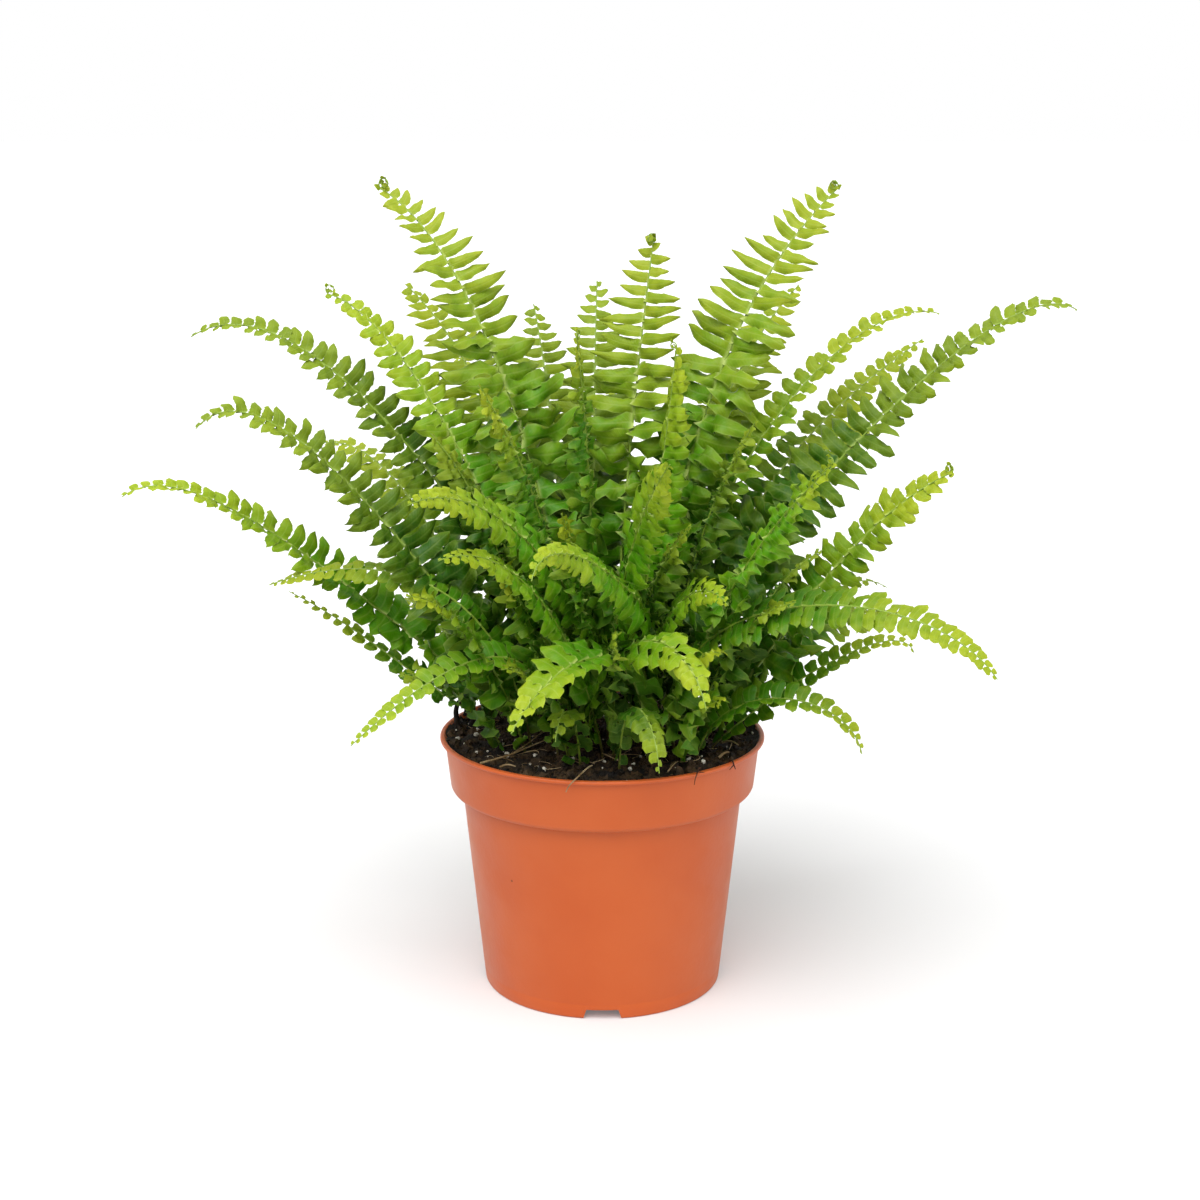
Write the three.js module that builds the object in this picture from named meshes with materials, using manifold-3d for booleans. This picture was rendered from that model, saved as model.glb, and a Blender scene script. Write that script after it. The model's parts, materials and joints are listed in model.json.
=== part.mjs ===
// A young Boston fern in a moulded nursery pot.
// Millimetres, +Z up. The origin is the middle of the pot's foot, on the surface it stands on,
// and +X runs along the plant's widest spread.
import * as THREE from "three";
import { mergeVertices } from "three/addons/utils/BufferGeometryUtils.js";
import Module from "manifold-3d";

const wasm = await Module();
wasm.setup();

// ---------------------------------------------------------------- sizes of the pot
const POT_HEIGHT = 95;
const RIM_RADIUS = 60; // outside of the rolled bead, the pot's nominal 12 cm across
const BEAD_HEIGHT = 2.2;
const BEAD_ROUND = 0.5;
const WALL = 1.6;
const COLLAR_TOP_RADIUS = 58.2;
const COLLAR_FOOT_RADIUS = 56.3;
const COLLAR_FOOT_Z = 77.5;
const SHOULDER_RADIUS = 51.9;
const SHOULDER_Z = 74.5;
const SHOULDER_ROUND = 2.6;
const FOOT_RADIUS = 44.2;
const FOOT_RING_WIDTH = 3;
const FOOT_RECESS = 3.4; // how far the floor of the pot stands above the surface
const POT_SIDES = 40;
const NOTCH_TOP_WIDTH = 11.6;
const NOTCH_FOOT_WIDTH = 14.5;
const NOTCH_HEIGHT = 3.7;
const NOTCH_REACH = 8;
const NOTCH_COUNT = 4;
const DRAIN_RADIUS = 4;
const DRAIN_CIRCLE_RADIUS = 27;
const DRAIN_COUNT = 6;
const DRAIN_SIDES = 12;

// ---------------------------------------------------------------- sizes of the soil
const GAP = 0.3; // between pieces that touch on the real plant
const SOIL_TOP = 92.6;
const SOIL_RELIEF = 0.8;
const SOIL_SIDES = 24;
const SOIL_RINGS = [0.8, 0.5, 0.2]; // radii of the rings of its top, against the top's radius
const HOLE_DEPTH = 7;
const HOLE_WIDTH = 4.2;

// ---------------------------------------------------------------- sizes of the fronds
const BLADE_THICKNESS = 0.7;
const RIB_WIDTH = 1.5;
const RIB_TAPER = 0.4; // share of its width that a rib loses on its way to the tip
const STALK_THICKNESS = 1.5;
const STALK_RISE = 1.5; // a stalk stands upright this far out of the soil before it leans
const BARE_SHARE = 0.09; // share of a rib that is bare stalk
const STALK_STEPS = 2;
const FOOT_HANDLE = 0.42; // length of a rib curve's two handles against its chord
const TIP_HANDLE = 0.3;
const BOW_STEPS = [0, 4, -4, 8, -8, 12, -12, 16, -16]; // sideways bends, tried in turn
const RIB_CLEARANCE = 3.5; // between the middles of two ribs
const RIB_SAMPLES = 30;

const LEAFLET_PITCH = 8.1;
const FEWEST_LEAFLETS = 5;
const END_STEP = 0.45; // the last step of a rib, past its last leaflets, against the pitch
const LOWEST_LEAFLET = 0.42; // length of the lowest leaflets against the longest
const LONGEST_AT = 0.3; // how far up the blade the longest leaflets are
const TIP_LEAFLET = 0.1; // what the taper towards the tip leaves
const TIP_TAPER = 0.62; // under 1 keeps a blade broad for longer
const SWEEP = 6; // degrees a leaflet leans towards the tip, low on the blade
const TIP_SWEEP = 16; // and what it gains by the tip
const WAVE = 1.2; // how far leaflet tips curl out of the blade
const TURNS = [0, 16, -16, 32, -32, 48, -48, 64]; // degrees a leaflet may fold aside
const SHORTER = [1, 0.78, 0.58, 0.4]; // shares of its length, tried in turn
const RIM_MARGIN = 2.5; // how far leaflets stay clear of the soil and the rim
const SEED = 41;

const YOUNG = "young";
const GROWN = "grown";
const OLD = "old";

// One row for each frond: name, foot on the soil [x, y], tip [x, y, z], the angle at which it
// leaves the soil from upright, the angle at which its tip points above the horizontal, how far
// its upper face rolls to its left, how much further it rolls by the tip, how far its leaflets
// fold up from flat, the longest leaflet, the share of the blade over which leaflets shorten
// towards the tip, and the age that gives its colour. A last number over 1 makes a higher arch
// and one under 1 a flatter arch.
const FRONDS = [
  // tall fronds on the left
  ["tall_left", [-12, 14], [-82, 45, 291], -1, 26, 42, 0, 24, 23, 0.42, YOUNG, 0.75],
  ["left_coiled", [-20, 6], [-100, 25, 254], -4, 12, 50, 0, 6, 14, 0.5, YOUNG, 0.6],
  ["left_behind", [-16, 26], [-76, 70, 254], 8, 34, 30, 0, -6, 21, 0.4, GROWN],
  ["left_upper", [-4, 8], [-150, 20, 239], 27, -33, 62, -40, 30, 19, 0.9, OLD, 0.83],
  ["left_middle", [-16, -8], [-141, -25, 212], 38, -48, 62, -40, 30, 19, 0.75, OLD, 0.81],
  ["left_long", [-26, 18], [-169, -20, 187], 59, -37, 62, -45, 30, 15, 0.9, YOUNG, 0.7],
  // tall fronds in the middle and on the right
  ["middle_tall", [4, 16], [19, 40, 273], 4, 76, -6, 0, 24, 24, 0.3, YOUNG],
  ["middle_behind", [-4, 30], [-2, 75, 255], 10, 54, 0, 0, -4, 19, 0.4, OLD],
  ["middle_left_behind", [-12, 36], [-27, 85, 245], 10, 52, 0, 0, -4, 22, 0.4, OLD],
  ["tall_right", [14, 14], [87, 45, 291], 8, 40, -41, 0, 26, 21.5, 0.3, YOUNG],
  ["tall_right_behind", [18, 28], [77, 80, 253], 10, 34, -30, 0, -4, 19, 0.4, GROWN],
  ["right_upper", [22, 12], [125, 35, 246], -4, -16, -30, 0, 30, 13, 0.7, GROWN, 0.8],
  ["right_long", [10, 8], [167, -5, 251], 27, -35, -60, 40, 22, 18, 0.6, OLD, 0.54],
  ["right_behind", [30, 18], [123, 60, 234], 11, 30, -40, 0, 4, 13, 0.5, GROWN, 1.13],
  ["right_middle", [38, -6], [119, -40, 199], 34, 27, -58, 0, 14, 18, 0.6, GROWN, 0.86],
  // fronds that lean towards the viewer
  ["right_front", [26, -8], [75, -70, 207], 18, 40, -62, -5, 0, 14, 0.5, YOUNG],
  ["front_left_arch", [6, 3], [-61, -100, 199], 13, -10, 64, -5, 6, 13, 0.5, YOUNG, 0.86],
  ["front_middle_arch", [33, 1], [-22, -115, 178], -7, -65, 66, 0, -10, 12, 0.5, YOUNG, 0.63],
  ["front_young", [2, -8], [21, -100, 212], 8, 26, -86, -30, 0, 13, 0.4, YOUNG],
  ["centre_left", [-10, -6], [-42, -40, 229], 4, 50, 60, 5, -6, 15, 0.4, GROWN],
  ["centre_coiled", [-2, 2], [-9, -20, 243], 3, 70, 82, 10, -6, 14, 0.4, GROWN],
  ["centre_right", [12, 0], [26, -10, 239], 3, 84, -52, -5, -6, 15, 0.4, YOUNG],
  // low fronds over the rim
  ["right_low_arch", [26, -16], [130, -80, 137], -10, -54, -28, 0, 6, 15, 0.6, GROWN, 1.16],
  ["right_low_thin", [40, -16], [110, -30, 133], 42, -70, -40, 0, 20, 10, 1, GROWN, 0.72],
  ["right_lowest", [34, -26], [90, -50, 102], 15, -78, -30, 0, 30, 11, 1, GROWN, 1.28],
  ["left_low_arch", [-16, -26], [-86, -60, 108], 4, -38, 22, 0, 16, 12, 0.9, YOUNG, 1.8],
  ["left_low_thin", [-40, 8], [-116, 10, 146], 58, 26, 50, 0, 0, 7, 1, GROWN],
  ["left_low_edge", [-26, -14], [-120, -10, 153], 8, -22, 30, 0, 0, 12, 0.8, GROWN, 1.4],
  ["front_left_small", [0, -24], [-53, -85, 178], 14, -8, 60, -25, 0, 11, 0.5, YOUNG],
  ["front_low_broad", [16, -30], [-30, -85, 120], 0, -48, 10, 0, 28, 13, 0.4, YOUNG, 1.6],
  ["front_low_dark", [-8, -34], [-16, -65, 111], 10, -64, 0, 0, -8, 9, 0.5, OLD, 1.5],
  ["front_hanging", [6, -38], [19, -75, 103], 4, -80, 0, 0, -8, 9, 0.4, OLD, 2],
  ["front_right_bright", [-6, -18], [34, -85, 128], 8, -66, -26, 0, -8, 13, 0.4, YOUNG, 1.4],
  ["front_right_small", [12, -8], [41, -80, 162], 10, -20, -66, 5, 0, 11, 0.5, YOUNG],
  ["right_inner", [34, -8], [78, -20, 168], 30, 30, -16, 0, 0, 11, 0.5, OLD],
  ["right_thin", [40, 6], [108, 30, 143], 42, -34, -30, 0, 0, 8, 0.8, OLD],
  // short fronds inside the clump
  ["inner_left", [-28, -20], [-66, -58, 160], 20, 10, 46, -25, 0, 12, 0.5, GROWN],
  ["inner_left_low", [-36, -18], [-70, -44, 128], 34, -10, 30, 0, 0, 11, 0.5, OLD],
  ["inner_front_left", [-18, -14], [-36, -66, 172], 14, 24, 76, 0, 0, 12, 0.4, GROWN],
  ["inner_front", [4, -26], [4, -74, 146], 18, 10, -84, -20, 0, 11, 0.4, OLD],
  ["inner_front_right", [20, -28], [40, -66, 142], 24, 0, -48, 35, 0, 11, 0.4, GROWN],
  ["inner_right", [32, -16], [66, -50, 156], 24, 16, -46, 20, 0, 12, 0.5, OLD],
  ["inner_centre_left", [-24, 12], [-62, 4, 206], 10, 50, 40, 0, 0, 13, 0.4, OLD],
  ["inner_centre_right", [22, 2], [54, -18, 214], 8, 56, -38, 0, 0, 13, 0.4, OLD],
  ["inner_middle", [-4, -14], [-14, -46, 186], 10, 44, 80, 10, 0, 12, 0.4, GROWN],
  ["inner_middle_right", [10, -12], [30, -48, 182], 12, 40, -68, 0, 0, 12, 0.4, OLD],
  ["inner_low_left", [-12, -32], [-34, -64, 136], 16, 4, 50, -25, 0, 11, 0.5, OLD],
  ["inner_low_right", [28, -34], [40, -66, 124], 14, -10, -64, 40, 0, 10, 0.5, GROWN],
  // fronds on the far side
  ["back_left", [-26, 30], [-112, 84, 190], 40, -10, 30, 0, 0, 15, 0.6, GROWN],
  ["back_left_low", [-38, 22], [-84, 66, 127], 50, -42, 20, 0, -6, 14, 0.6, GROWN],
  ["back_left_tall", [-20, 40], [-60, 112, 222], 24, 14, 10, 0, 0, 15, 0.6, GROWN],
  ["back_middle", [2, 42], [6, 115, 210], 26, 6, 0, 0, 0, 15, 0.6, GROWN],
  ["back_middle_low", [-8, 46], [-22, 113, 126], 40, -52, 0, 0, -8, 14, 0.6, YOUNG],
  ["back_right_tall", [16, 42], [58, 108, 226], 22, 16, -10, 0, 0, 15, 0.6, GROWN],
  ["back_right", [30, 32], [112, 88, 196], 40, -8, -30, 0, 0, 15, 0.6, GROWN],
  ["back_right_low", [40, 22], [124, 62, 120], 46, -44, -20, 0, -6, 14, 0.6, GROWN],
  ["back_low", [24, 44], [58, 104, 118], 42, -54, 0, 0, -6, 13, 0.6, OLD],
  ["back_low_left", [-30, 40], [-72, 98, 112], 44, -54, 0, 0, -6, 13, 0.6, OLD],
];

const GREENS = { [YOUNG]: 0x9acb32, [GROWN]: 0x5da22c, [OLD]: 0x33741f };
const POT_COLOUR = 0xd6693c;
const SOIL_COLOUR = 0x2f221a;
const POT_ROUGHNESS = 0.45;
const SOIL_ROUGHNESS = 0.95;
const LEAF_ROUGHNESS = 0.5;

const UP = new THREE.Vector3(0, 0, 1);
const radians = THREE.MathUtils.degToRad;

// ---------------------------------------------------------------- helpers
const seeded = (seed) => () => {
  seed = (seed * 16807) % 2147483647;
  return seed / 2147483647;
};

const toManifold = (geometry) => {
  const bare = geometry.clone();
  bare.deleteAttribute("normal");
  bare.deleteAttribute("uv");
  const merged = mergeVertices(bare, 1e-4);
  return new wasm.Manifold(new wasm.Mesh({
    numProp: 3,
    vertProperties: new Float32Array(merged.attributes.position.array),
    triVerts: new Uint32Array(merged.index.array),
  }));
};

const toGeometry = (manifold) => {
  const mesh = manifold.getMesh();
  const geometry = new THREE.BufferGeometry();
  geometry.setAttribute("position", new THREE.BufferAttribute(mesh.vertProperties, 3));
  geometry.setIndex(new THREE.BufferAttribute(mesh.triVerts, 1));
  return geometry;
};

const named = (name, geometry, color, roughness) => {
  const material = new THREE.MeshStandardMaterial({ color, roughness, metalness: 0 });
  const mesh = new THREE.Mesh(geometry, material);
  mesh.name = name;
  return mesh;
};

// The solid of a profile of [radius, height] pairs, from axis to axis, spun about +Z.
const spun = (profile, sides) => {
  const points = profile.map(([radius, height]) => new THREE.Vector2(radius, height));
  return new THREE.LatheGeometry(points, sides).rotateX(Math.PI / 2);
};

// The vector that leans by an angle from one direction to another at right angles to it.
const leaned = (from, to, degrees) =>
  from.clone().multiplyScalar(Math.cos(radians(degrees))).addScaledVector(to, Math.sin(radians(degrees)));

// ---------------------------------------------------------------- pot
const bodyRadiusAt = (z) => THREE.MathUtils.mapLinear(z, 0, SHOULDER_Z, FOOT_RADIUS, SHOULDER_RADIUS);
const collarRadiusAt = (z) =>
  THREE.MathUtils.mapLinear(z, COLLAR_FOOT_Z, POT_HEIGHT, COLLAR_FOOT_RADIUS, COLLAR_TOP_RADIUS);

function potGeometry() {
  const floorTop = FOOT_RECESS + WALL;
  const beadFoot = POT_HEIGHT - BEAD_HEIGHT;
  const ringInside = FOOT_RADIUS - FOOT_RING_WIDTH;
  const profile = [
    [0, FOOT_RECESS],
    [ringInside - 1, FOOT_RECESS],
    [ringInside, 0],
    [FOOT_RADIUS, 0],
    [SHOULDER_RADIUS, SHOULDER_Z],
    [SHOULDER_RADIUS + SHOULDER_ROUND, SHOULDER_Z + 0.2 * SHOULDER_ROUND],
    [COLLAR_FOOT_RADIUS, COLLAR_FOOT_Z],
    [COLLAR_TOP_RADIUS, beadFoot],
    [RIM_RADIUS, beadFoot + BEAD_ROUND],
    [RIM_RADIUS, POT_HEIGHT - BEAD_ROUND],
    [RIM_RADIUS - BEAD_ROUND, POT_HEIGHT],
    [COLLAR_TOP_RADIUS - WALL, POT_HEIGHT],
    [COLLAR_FOOT_RADIUS - WALL, COLLAR_FOOT_Z],
    [SHOULDER_RADIUS - WALL, SHOULDER_Z],
    [bodyRadiusAt(floorTop) - WALL, floorTop],
    [0, floorTop],
  ];
  let pot = toManifold(spun(profile, POT_SIDES));

  // water runs out through the floor and under the foot ring
  const notchShape = new THREE.Shape([
    new THREE.Vector2(-NOTCH_FOOT_WIDTH / 2, -1),
    new THREE.Vector2(NOTCH_FOOT_WIDTH / 2, -1),
    new THREE.Vector2(NOTCH_TOP_WIDTH / 2, NOTCH_HEIGHT),
    new THREE.Vector2(-NOTCH_TOP_WIDTH / 2, NOTCH_HEIGHT),
  ]);
  for (let i = 0; i < NOTCH_COUNT; i++) {
    const notch = new THREE.ExtrudeGeometry(notchShape, { depth: NOTCH_REACH, bevelEnabled: false });
    notch.rotateX(Math.PI / 2);
    notch.translate(0, NOTCH_REACH / 2 - FOOT_RADIUS, 0);
    notch.rotateZ((i * 2 * Math.PI) / NOTCH_COUNT);
    pot = pot.subtract(toManifold(notch));
  }
  for (let i = 0; i < DRAIN_COUNT; i++) {
    const drain = new THREE.CylinderGeometry(DRAIN_RADIUS, DRAIN_RADIUS, 3 * WALL, DRAIN_SIDES);
    drain.rotateX(Math.PI / 2);
    drain.translate(DRAIN_CIRCLE_RADIUS, 0, FOOT_RECESS + WALL / 2);
    drain.rotateZ(((i + 0.5) * 2 * Math.PI) / DRAIN_COUNT);
    pot = pot.subtract(toManifold(drain));
  }
  return toGeometry(pot);
}

// ---------------------------------------------------------------- soil
// Two slow waves lift and lower the soil inside its edge.
const soilHeight = (x, y) =>
  SOIL_TOP + SOIL_RELIEF * (Math.sin(x / 9 + 1.3) * Math.cos(y / 11) + 0.5 * Math.sin(y / 6 + x / 14));

function soilGeometry(feet) {
  const bottom = FOOT_RECESS + WALL + GAP;
  const edge = collarRadiusAt(SOIL_TOP) - WALL - 2 * GAP;
  const profile = [
    [0, bottom],
    [bodyRadiusAt(bottom) - WALL - GAP, bottom],
    [SHOULDER_RADIUS - WALL - 2 * GAP, SHOULDER_Z],
    [collarRadiusAt(COLLAR_FOOT_Z) - WALL - 2 * GAP, COLLAR_FOOT_Z + GAP],
    [edge, SOIL_TOP],
    ...SOIL_RINGS.map((share) => [share * edge, SOIL_TOP]),
    [0, SOIL_TOP],
  ];
  const body = spun(profile, SOIL_SIDES);
  const position = body.attributes.position;
  for (let i = 0; i < position.count; i++) {
    const [x, y, z] = [position.getX(i), position.getY(i), position.getZ(i)];
    const inside = Math.hypot(x, y) < (edge * (1 + SOIL_RINGS[0])) / 2;
    if (inside && z > SOIL_TOP - 1) position.setZ(i, soilHeight(x, y));
  }
  let soil = toManifold(body);
  for (const [x, y] of feet) {
    const hole = new THREE.BoxGeometry(HOLE_WIDTH, HOLE_WIDTH, 2 * HOLE_DEPTH);
    hole.translate(x, y, SOIL_TOP);
    soil = soil.subtract(toManifold(hole));
  }
  return toGeometry(soil);
}

// ---------------------------------------------------------------- ribs
// A rib lies in the upright plane through its foot and its tip, apart from its bow to the side.
function ribCurve([, foot, tip, leave, arrive, , , , , , , arch = 1], bow) {
  const start = new THREE.Vector3(...foot, SOIL_TOP + STALK_RISE);
  const end = new THREE.Vector3(...tip);
  const heading = new THREE.Vector3(end.x - start.x, end.y - start.y, 0).normalize();
  const side = new THREE.Vector3(-heading.y, heading.x, 0);
  const chord = start.distanceTo(end) * arch;
  const leaving = leaned(UP, heading, leave);
  const arriving = leaned(heading, UP, arrive);
  const first = start.clone().addScaledVector(leaving, chord * FOOT_HANDLE).addScaledVector(side, bow);
  const last = end.clone().addScaledVector(arriving, -chord * TIP_HANDLE).addScaledVector(side, bow);
  const curve = new THREE.CubicBezierCurve3(start, first, last, end);
  curve.side = side;
  return curve;
}

function distanceBetween(samples, others) {
  let nearest = Infinity;
  for (const a of samples) {
    for (const b of others) nearest = Math.min(nearest, a.distanceTo(b));
  }
  return nearest;
}

// Ribs bow sideways, as little as they can, until each one is clear of those before it.
function layRibs(fronds) {
  const laid = [];
  for (const frond of fronds) {
    let best = null;
    for (const bow of BOW_STEPS) {
      const curve = ribCurve(frond, bow);
      const samples = curve.getPoints(RIB_SAMPLES);
      const nearest = Math.min(...laid.map((other) => distanceBetween(samples, other.samples)));
      if (!best || nearest > best.nearest) best = { frond, curve, samples, nearest };
      if (nearest > RIB_CLEARANCE) break;
    }
    laid.push(best);
  }
  return laid;
}

// The frame at share u of a rib: its point, the way it runs, its upper face's normal and the
// direction to its left edge.
function ribFrame({ curve, frond: [, , , , , roll, twist] }, u) {
  const point = curve.getPointAt(u);
  const along = curve.getTangentAt(u);
  const side = curve.side.clone().addScaledVector(along, -curve.side.dot(along)).normalize();
  const face = leaned(along.clone().cross(side), side, roll + twist * u * u);
  return { point, along, face, left: face.clone().cross(along) };
}

// ---------------------------------------------------------------- sheets
// A sheet is a middle surface: points with a normal and half a thickness each, and triangles
// wound so that the upper face looks along the normals.
const newSheet = () => ({ points: [], normals: [], halves: [], faces: [] });

const addPoint = (sheet, point, normal, half) => {
  sheet.points.push(point);
  sheet.normals.push(normal);
  sheet.halves.push(half);
  return sheet.points.length - 1;
};

// The closed solid of a sheet: the same triangles on both faces, and walls round its edge.
function thicken(sheet) {
  const count = sheet.points.length;
  const positions = new Float32Array(count * 6);
  sheet.points.forEach((point, i) => {
    const offset = sheet.normals[i].clone().multiplyScalar(sheet.halves[i]);
    point.clone().add(offset).toArray(positions, i * 3);
    point.clone().sub(offset).toArray(positions, (count + i) * 3);
  });
  const index = [];
  const edges = new Map();
  for (const [a, b, c] of sheet.faces) {
    index.push(a, b, c, count + a, count + c, count + b);
    for (const [from, to] of [[a, b], [b, c], [c, a]]) {
      if (!edges.delete(`${to}_${from}`)) edges.set(`${from}_${to}`, [from, to]);
    }
  }
  for (const [from, to] of edges.values()) {
    index.push(from, count + from, count + to, from, count + to, to);
  }
  const geometry = new THREE.BufferGeometry();
  geometry.setAttribute("position", new THREE.BufferAttribute(positions, 3));
  geometry.setIndex(index);
  return geometry;
}

// The stalk and rib of a frond as one ribbon, with a station at the root of every leaflet.
function ribSheet(rib) {
  const [, foot] = rib.frond;
  const bladeLength = rib.curve.getLength() * (1 - BARE_SHARE);
  const pairs = Math.max(FEWEST_LEAFLETS, Math.round(bladeLength / LEAFLET_PITCH));
  const steps = pairs - 1 + END_STEP;
  const sheet = newSheet();
  const stations = []; // the [left, right] points of each
  const addStation = ({ point, face, left }, thickness, width) => stations.push([
    addPoint(sheet, point.clone().addScaledVector(left, width / 2), face, thickness / 2),
    addPoint(sheet, point.clone().addScaledVector(left, -width / 2), face, thickness / 2),
  ]);

  const left = ribFrame(rib, 0).left.setZ(0).normalize();
  const sunk = new THREE.Vector3(...foot, SOIL_TOP - HOLE_DEPTH + 1);
  addStation({ point: sunk, face: UP.clone().cross(left), left }, STALK_THICKNESS, RIB_WIDTH);
  for (let i = 0; i < STALK_STEPS; i++) {
    const share = i / STALK_STEPS;
    const thickness = THREE.MathUtils.lerp(STALK_THICKNESS, BLADE_THICKNESS, share);
    addStation(ribFrame(rib, BARE_SHARE * share), thickness, RIB_WIDTH);
  }
  const firstLeaflet = stations.length;
  for (let i = 0; i < pairs; i++) {
    const frame = ribFrame(rib, BARE_SHARE + ((1 - BARE_SHARE) * i) / steps);
    addStation(frame, BLADE_THICKNESS, RIB_WIDTH * (1 - (RIB_TAPER * i) / steps));
  }
  for (let i = 0; i + 1 < stations.length; i++) {
    const [leftA, rightA] = stations[i];
    const [leftB, rightB] = stations[i + 1];
    sheet.faces.push([rightA, rightB, leftB], [rightA, leftB, leftA]);
  }
  const end = ribFrame(rib, 1);
  const tip = addPoint(sheet, end.point, end.face, BLADE_THICKNESS / 2);
  const [lastLeft, lastRight] = stations[stations.length - 1];
  sheet.faces.push([lastRight, tip, lastLeft]);
  return { ...rib, sheet, stations, firstLeaflet, pairs, steps };
}

// ---------------------------------------------------------------- clearances
function obstacle(corners, half, owner) {
  const centre = corners[0].clone().add(corners[1]).add(corners[2]).divideScalar(3);
  const reach = Math.max(...corners.map((corner) => corner.distanceTo(centre)));
  return { triangle: new THREE.Triangle(...corners), corners, half, centre, reach, owner };
}

const obstaclesOf = (rib) => rib.sheet.faces.map((face) => obstacle(
  face.map((i) => rib.sheet.points[i]), Math.max(...face.map((i) => rib.sheet.halves[i])), rib));

const nearPoint = new THREE.Vector3();
const ray = new THREE.Ray();
const lineA = new THREE.Line3();
const lineB = new THREE.Line3();

function pierces(from, to, { a, b, c }) {
  const length = from.distanceTo(to);
  ray.origin.copy(from);
  ray.direction.subVectors(to, from).divideScalar(length);
  return ray.intersectTriangle(a, b, c, false, nearPoint) !== null && nearPoint.distanceTo(from) <= length;
}

// Whether two triangles, each with its thickness, come nearer than the gap: by a corner over a
// face, by an edge through a face, or by an edge beside an edge.
function tooClose(one, other) {
  const limit = one.half + other.half + GAP + 0.1;
  if (one.centre.distanceTo(other.centre) > one.reach + other.reach + limit) return false;
  for (const [a, b] of [[one, other], [other, one]]) {
    for (let i = 0; i < 3; i++) {
      b.triangle.closestPointToPoint(a.corners[i], nearPoint);
      if (nearPoint.distanceTo(a.corners[i]) < limit) return true;
      if (pierces(a.corners[i], a.corners[(i + 1) % 3], b.triangle)) return true;
    }
  }
  for (let i = 0; i < 3; i++) {
    lineA.set(one.corners[i], one.corners[(i + 1) % 3]);
    for (let k = 0; k < 3; k++) {
      lineB.set(other.corners[k], other.corners[(k + 1) % 3]);
      if (lineA.distanceSqToLine3(lineB) < limit * limit) return true;
    }
  }
  return false;
}

function clearOfPot(point) {
  const radius = Math.hypot(point.x, point.y);
  const insideRim = radius < COLLAR_TOP_RADIUS - WALL - RIM_MARGIN;
  return radius > RIM_RADIUS + RIM_MARGIN || point.z > (insideRim ? SOIL_TOP : POT_HEIGHT) + RIM_MARGIN;
}

// ---------------------------------------------------------------- leaflets
// Leaflet length against the longest, from s = 0 at the foot of the blade to 1 at its tip.
const leafletShare = (s, taper) =>
  THREE.MathUtils.lerp(LOWEST_LEAFLET, 1, THREE.MathUtils.smoothstep(s, 0, LONGEST_AT))
  * Math.pow(THREE.MathUtils.lerp(TIP_LEAFLET, 1, Math.min(1, (1 - s) / taper)), TIP_TAPER);

// Each leaflet turns about the rib until it is clear of the blades laid before it, and is cut
// shorter only when no turn clears it.
function addLeaflets(rib, obstacles, random) {
  const [, , , , , , , fold, longest, taper] = rib.frond;
  const { sheet, stations, firstLeaflet, pairs, steps } = rib;
  for (let i = 0; i < pairs - 1; i++) {
    const s = (i + 0.5) / steps;
    const { point, along, face, left } = ribFrame(rib, BARE_SHARE + (1 - BARE_SHARE) * s);
    for (const [edge, sign] of [[0, 1], [1, -1]]) {
      const from = stations[firstLeaflet + i][edge];
      const to = stations[firstLeaflet + i + 1][edge];
      const side = left.clone().multiplyScalar(sign);
      const wave = (2 * random() - 1) * WAVE;

      const leafletAt = (share, turn) => {
        const outward = leaned(leaned(side, face, fold + turn), along, SWEEP + TIP_SWEEP * s * s);
        const normal = leaned(face, side, -(fold + turn));
        const tip = point.clone().addScaledVector(outward, longest * leafletShare(s, taper) * share)
          .addScaledVector(normal, wave);
        const corners = [sheet.points[from], sheet.points[to], tip];
        return { tip, normal, solid: obstacle(corners, BLADE_THICKNESS / 2, rib) };
      };
      const clear = ({ tip, solid }) => clearOfPot(tip)
        && !obstacles.some((other) => other.owner !== rib && tooClose(solid, other));

      const choices = SHORTER.flatMap((share) => TURNS.map((turn) => [share, turn]));
      const choice = choices.find(([share, turn]) => clear(leafletAt(share, turn)));
      if (!choice) continue;
      const leaflet = leafletAt(...choice);
      const tip = addPoint(sheet, leaflet.tip, leaflet.normal, BLADE_THICKNESS / 2);
      sheet.faces.push(sign > 0 ? [from, to, tip] : [to, from, tip]);
      obstacles.push(leaflet.solid);
    }
  }
}

// ---------------------------------------------------------------- the plant
const group = new THREE.Group();
group.add(named("pot", potGeometry(), POT_COLOUR, POT_ROUGHNESS));
group.add(named("soil", soilGeometry(FRONDS.map(([, foot]) => foot)), SOIL_COLOUR, SOIL_ROUGHNESS));

const ribs = layRibs(FRONDS).map(ribSheet);
const obstacles = ribs.flatMap(obstaclesOf);
const random = seeded(SEED);
for (const rib of ribs) {
  addLeaflets(rib, obstacles, random);
  const [name, , , , , , , , , , age] = rib.frond;
  group.add(named(`frond_${name}`, thicken(rib.sheet), GREENS[age], LEAF_ROUGHNESS));
}

export default group;
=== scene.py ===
# %% [markdown]
# # A young fern in a nursery pot
# The object is a small Boston fern, sold in the moulded pot that it grew in. The pot is plain
# orange plastic with a rolled bead and a deep collar, it is full of dark peat, and the fronds
# arch out of the crown on every side. Each cell builds one piece or one finish of it. Lengths
# are given in millimetres, as on a maker's drawing, and become metres where a mesh is made.

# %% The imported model
import json
import math
import random

import bmesh
import bpy
import numpy as np
from mathutils import Matrix, Vector, noise

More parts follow.
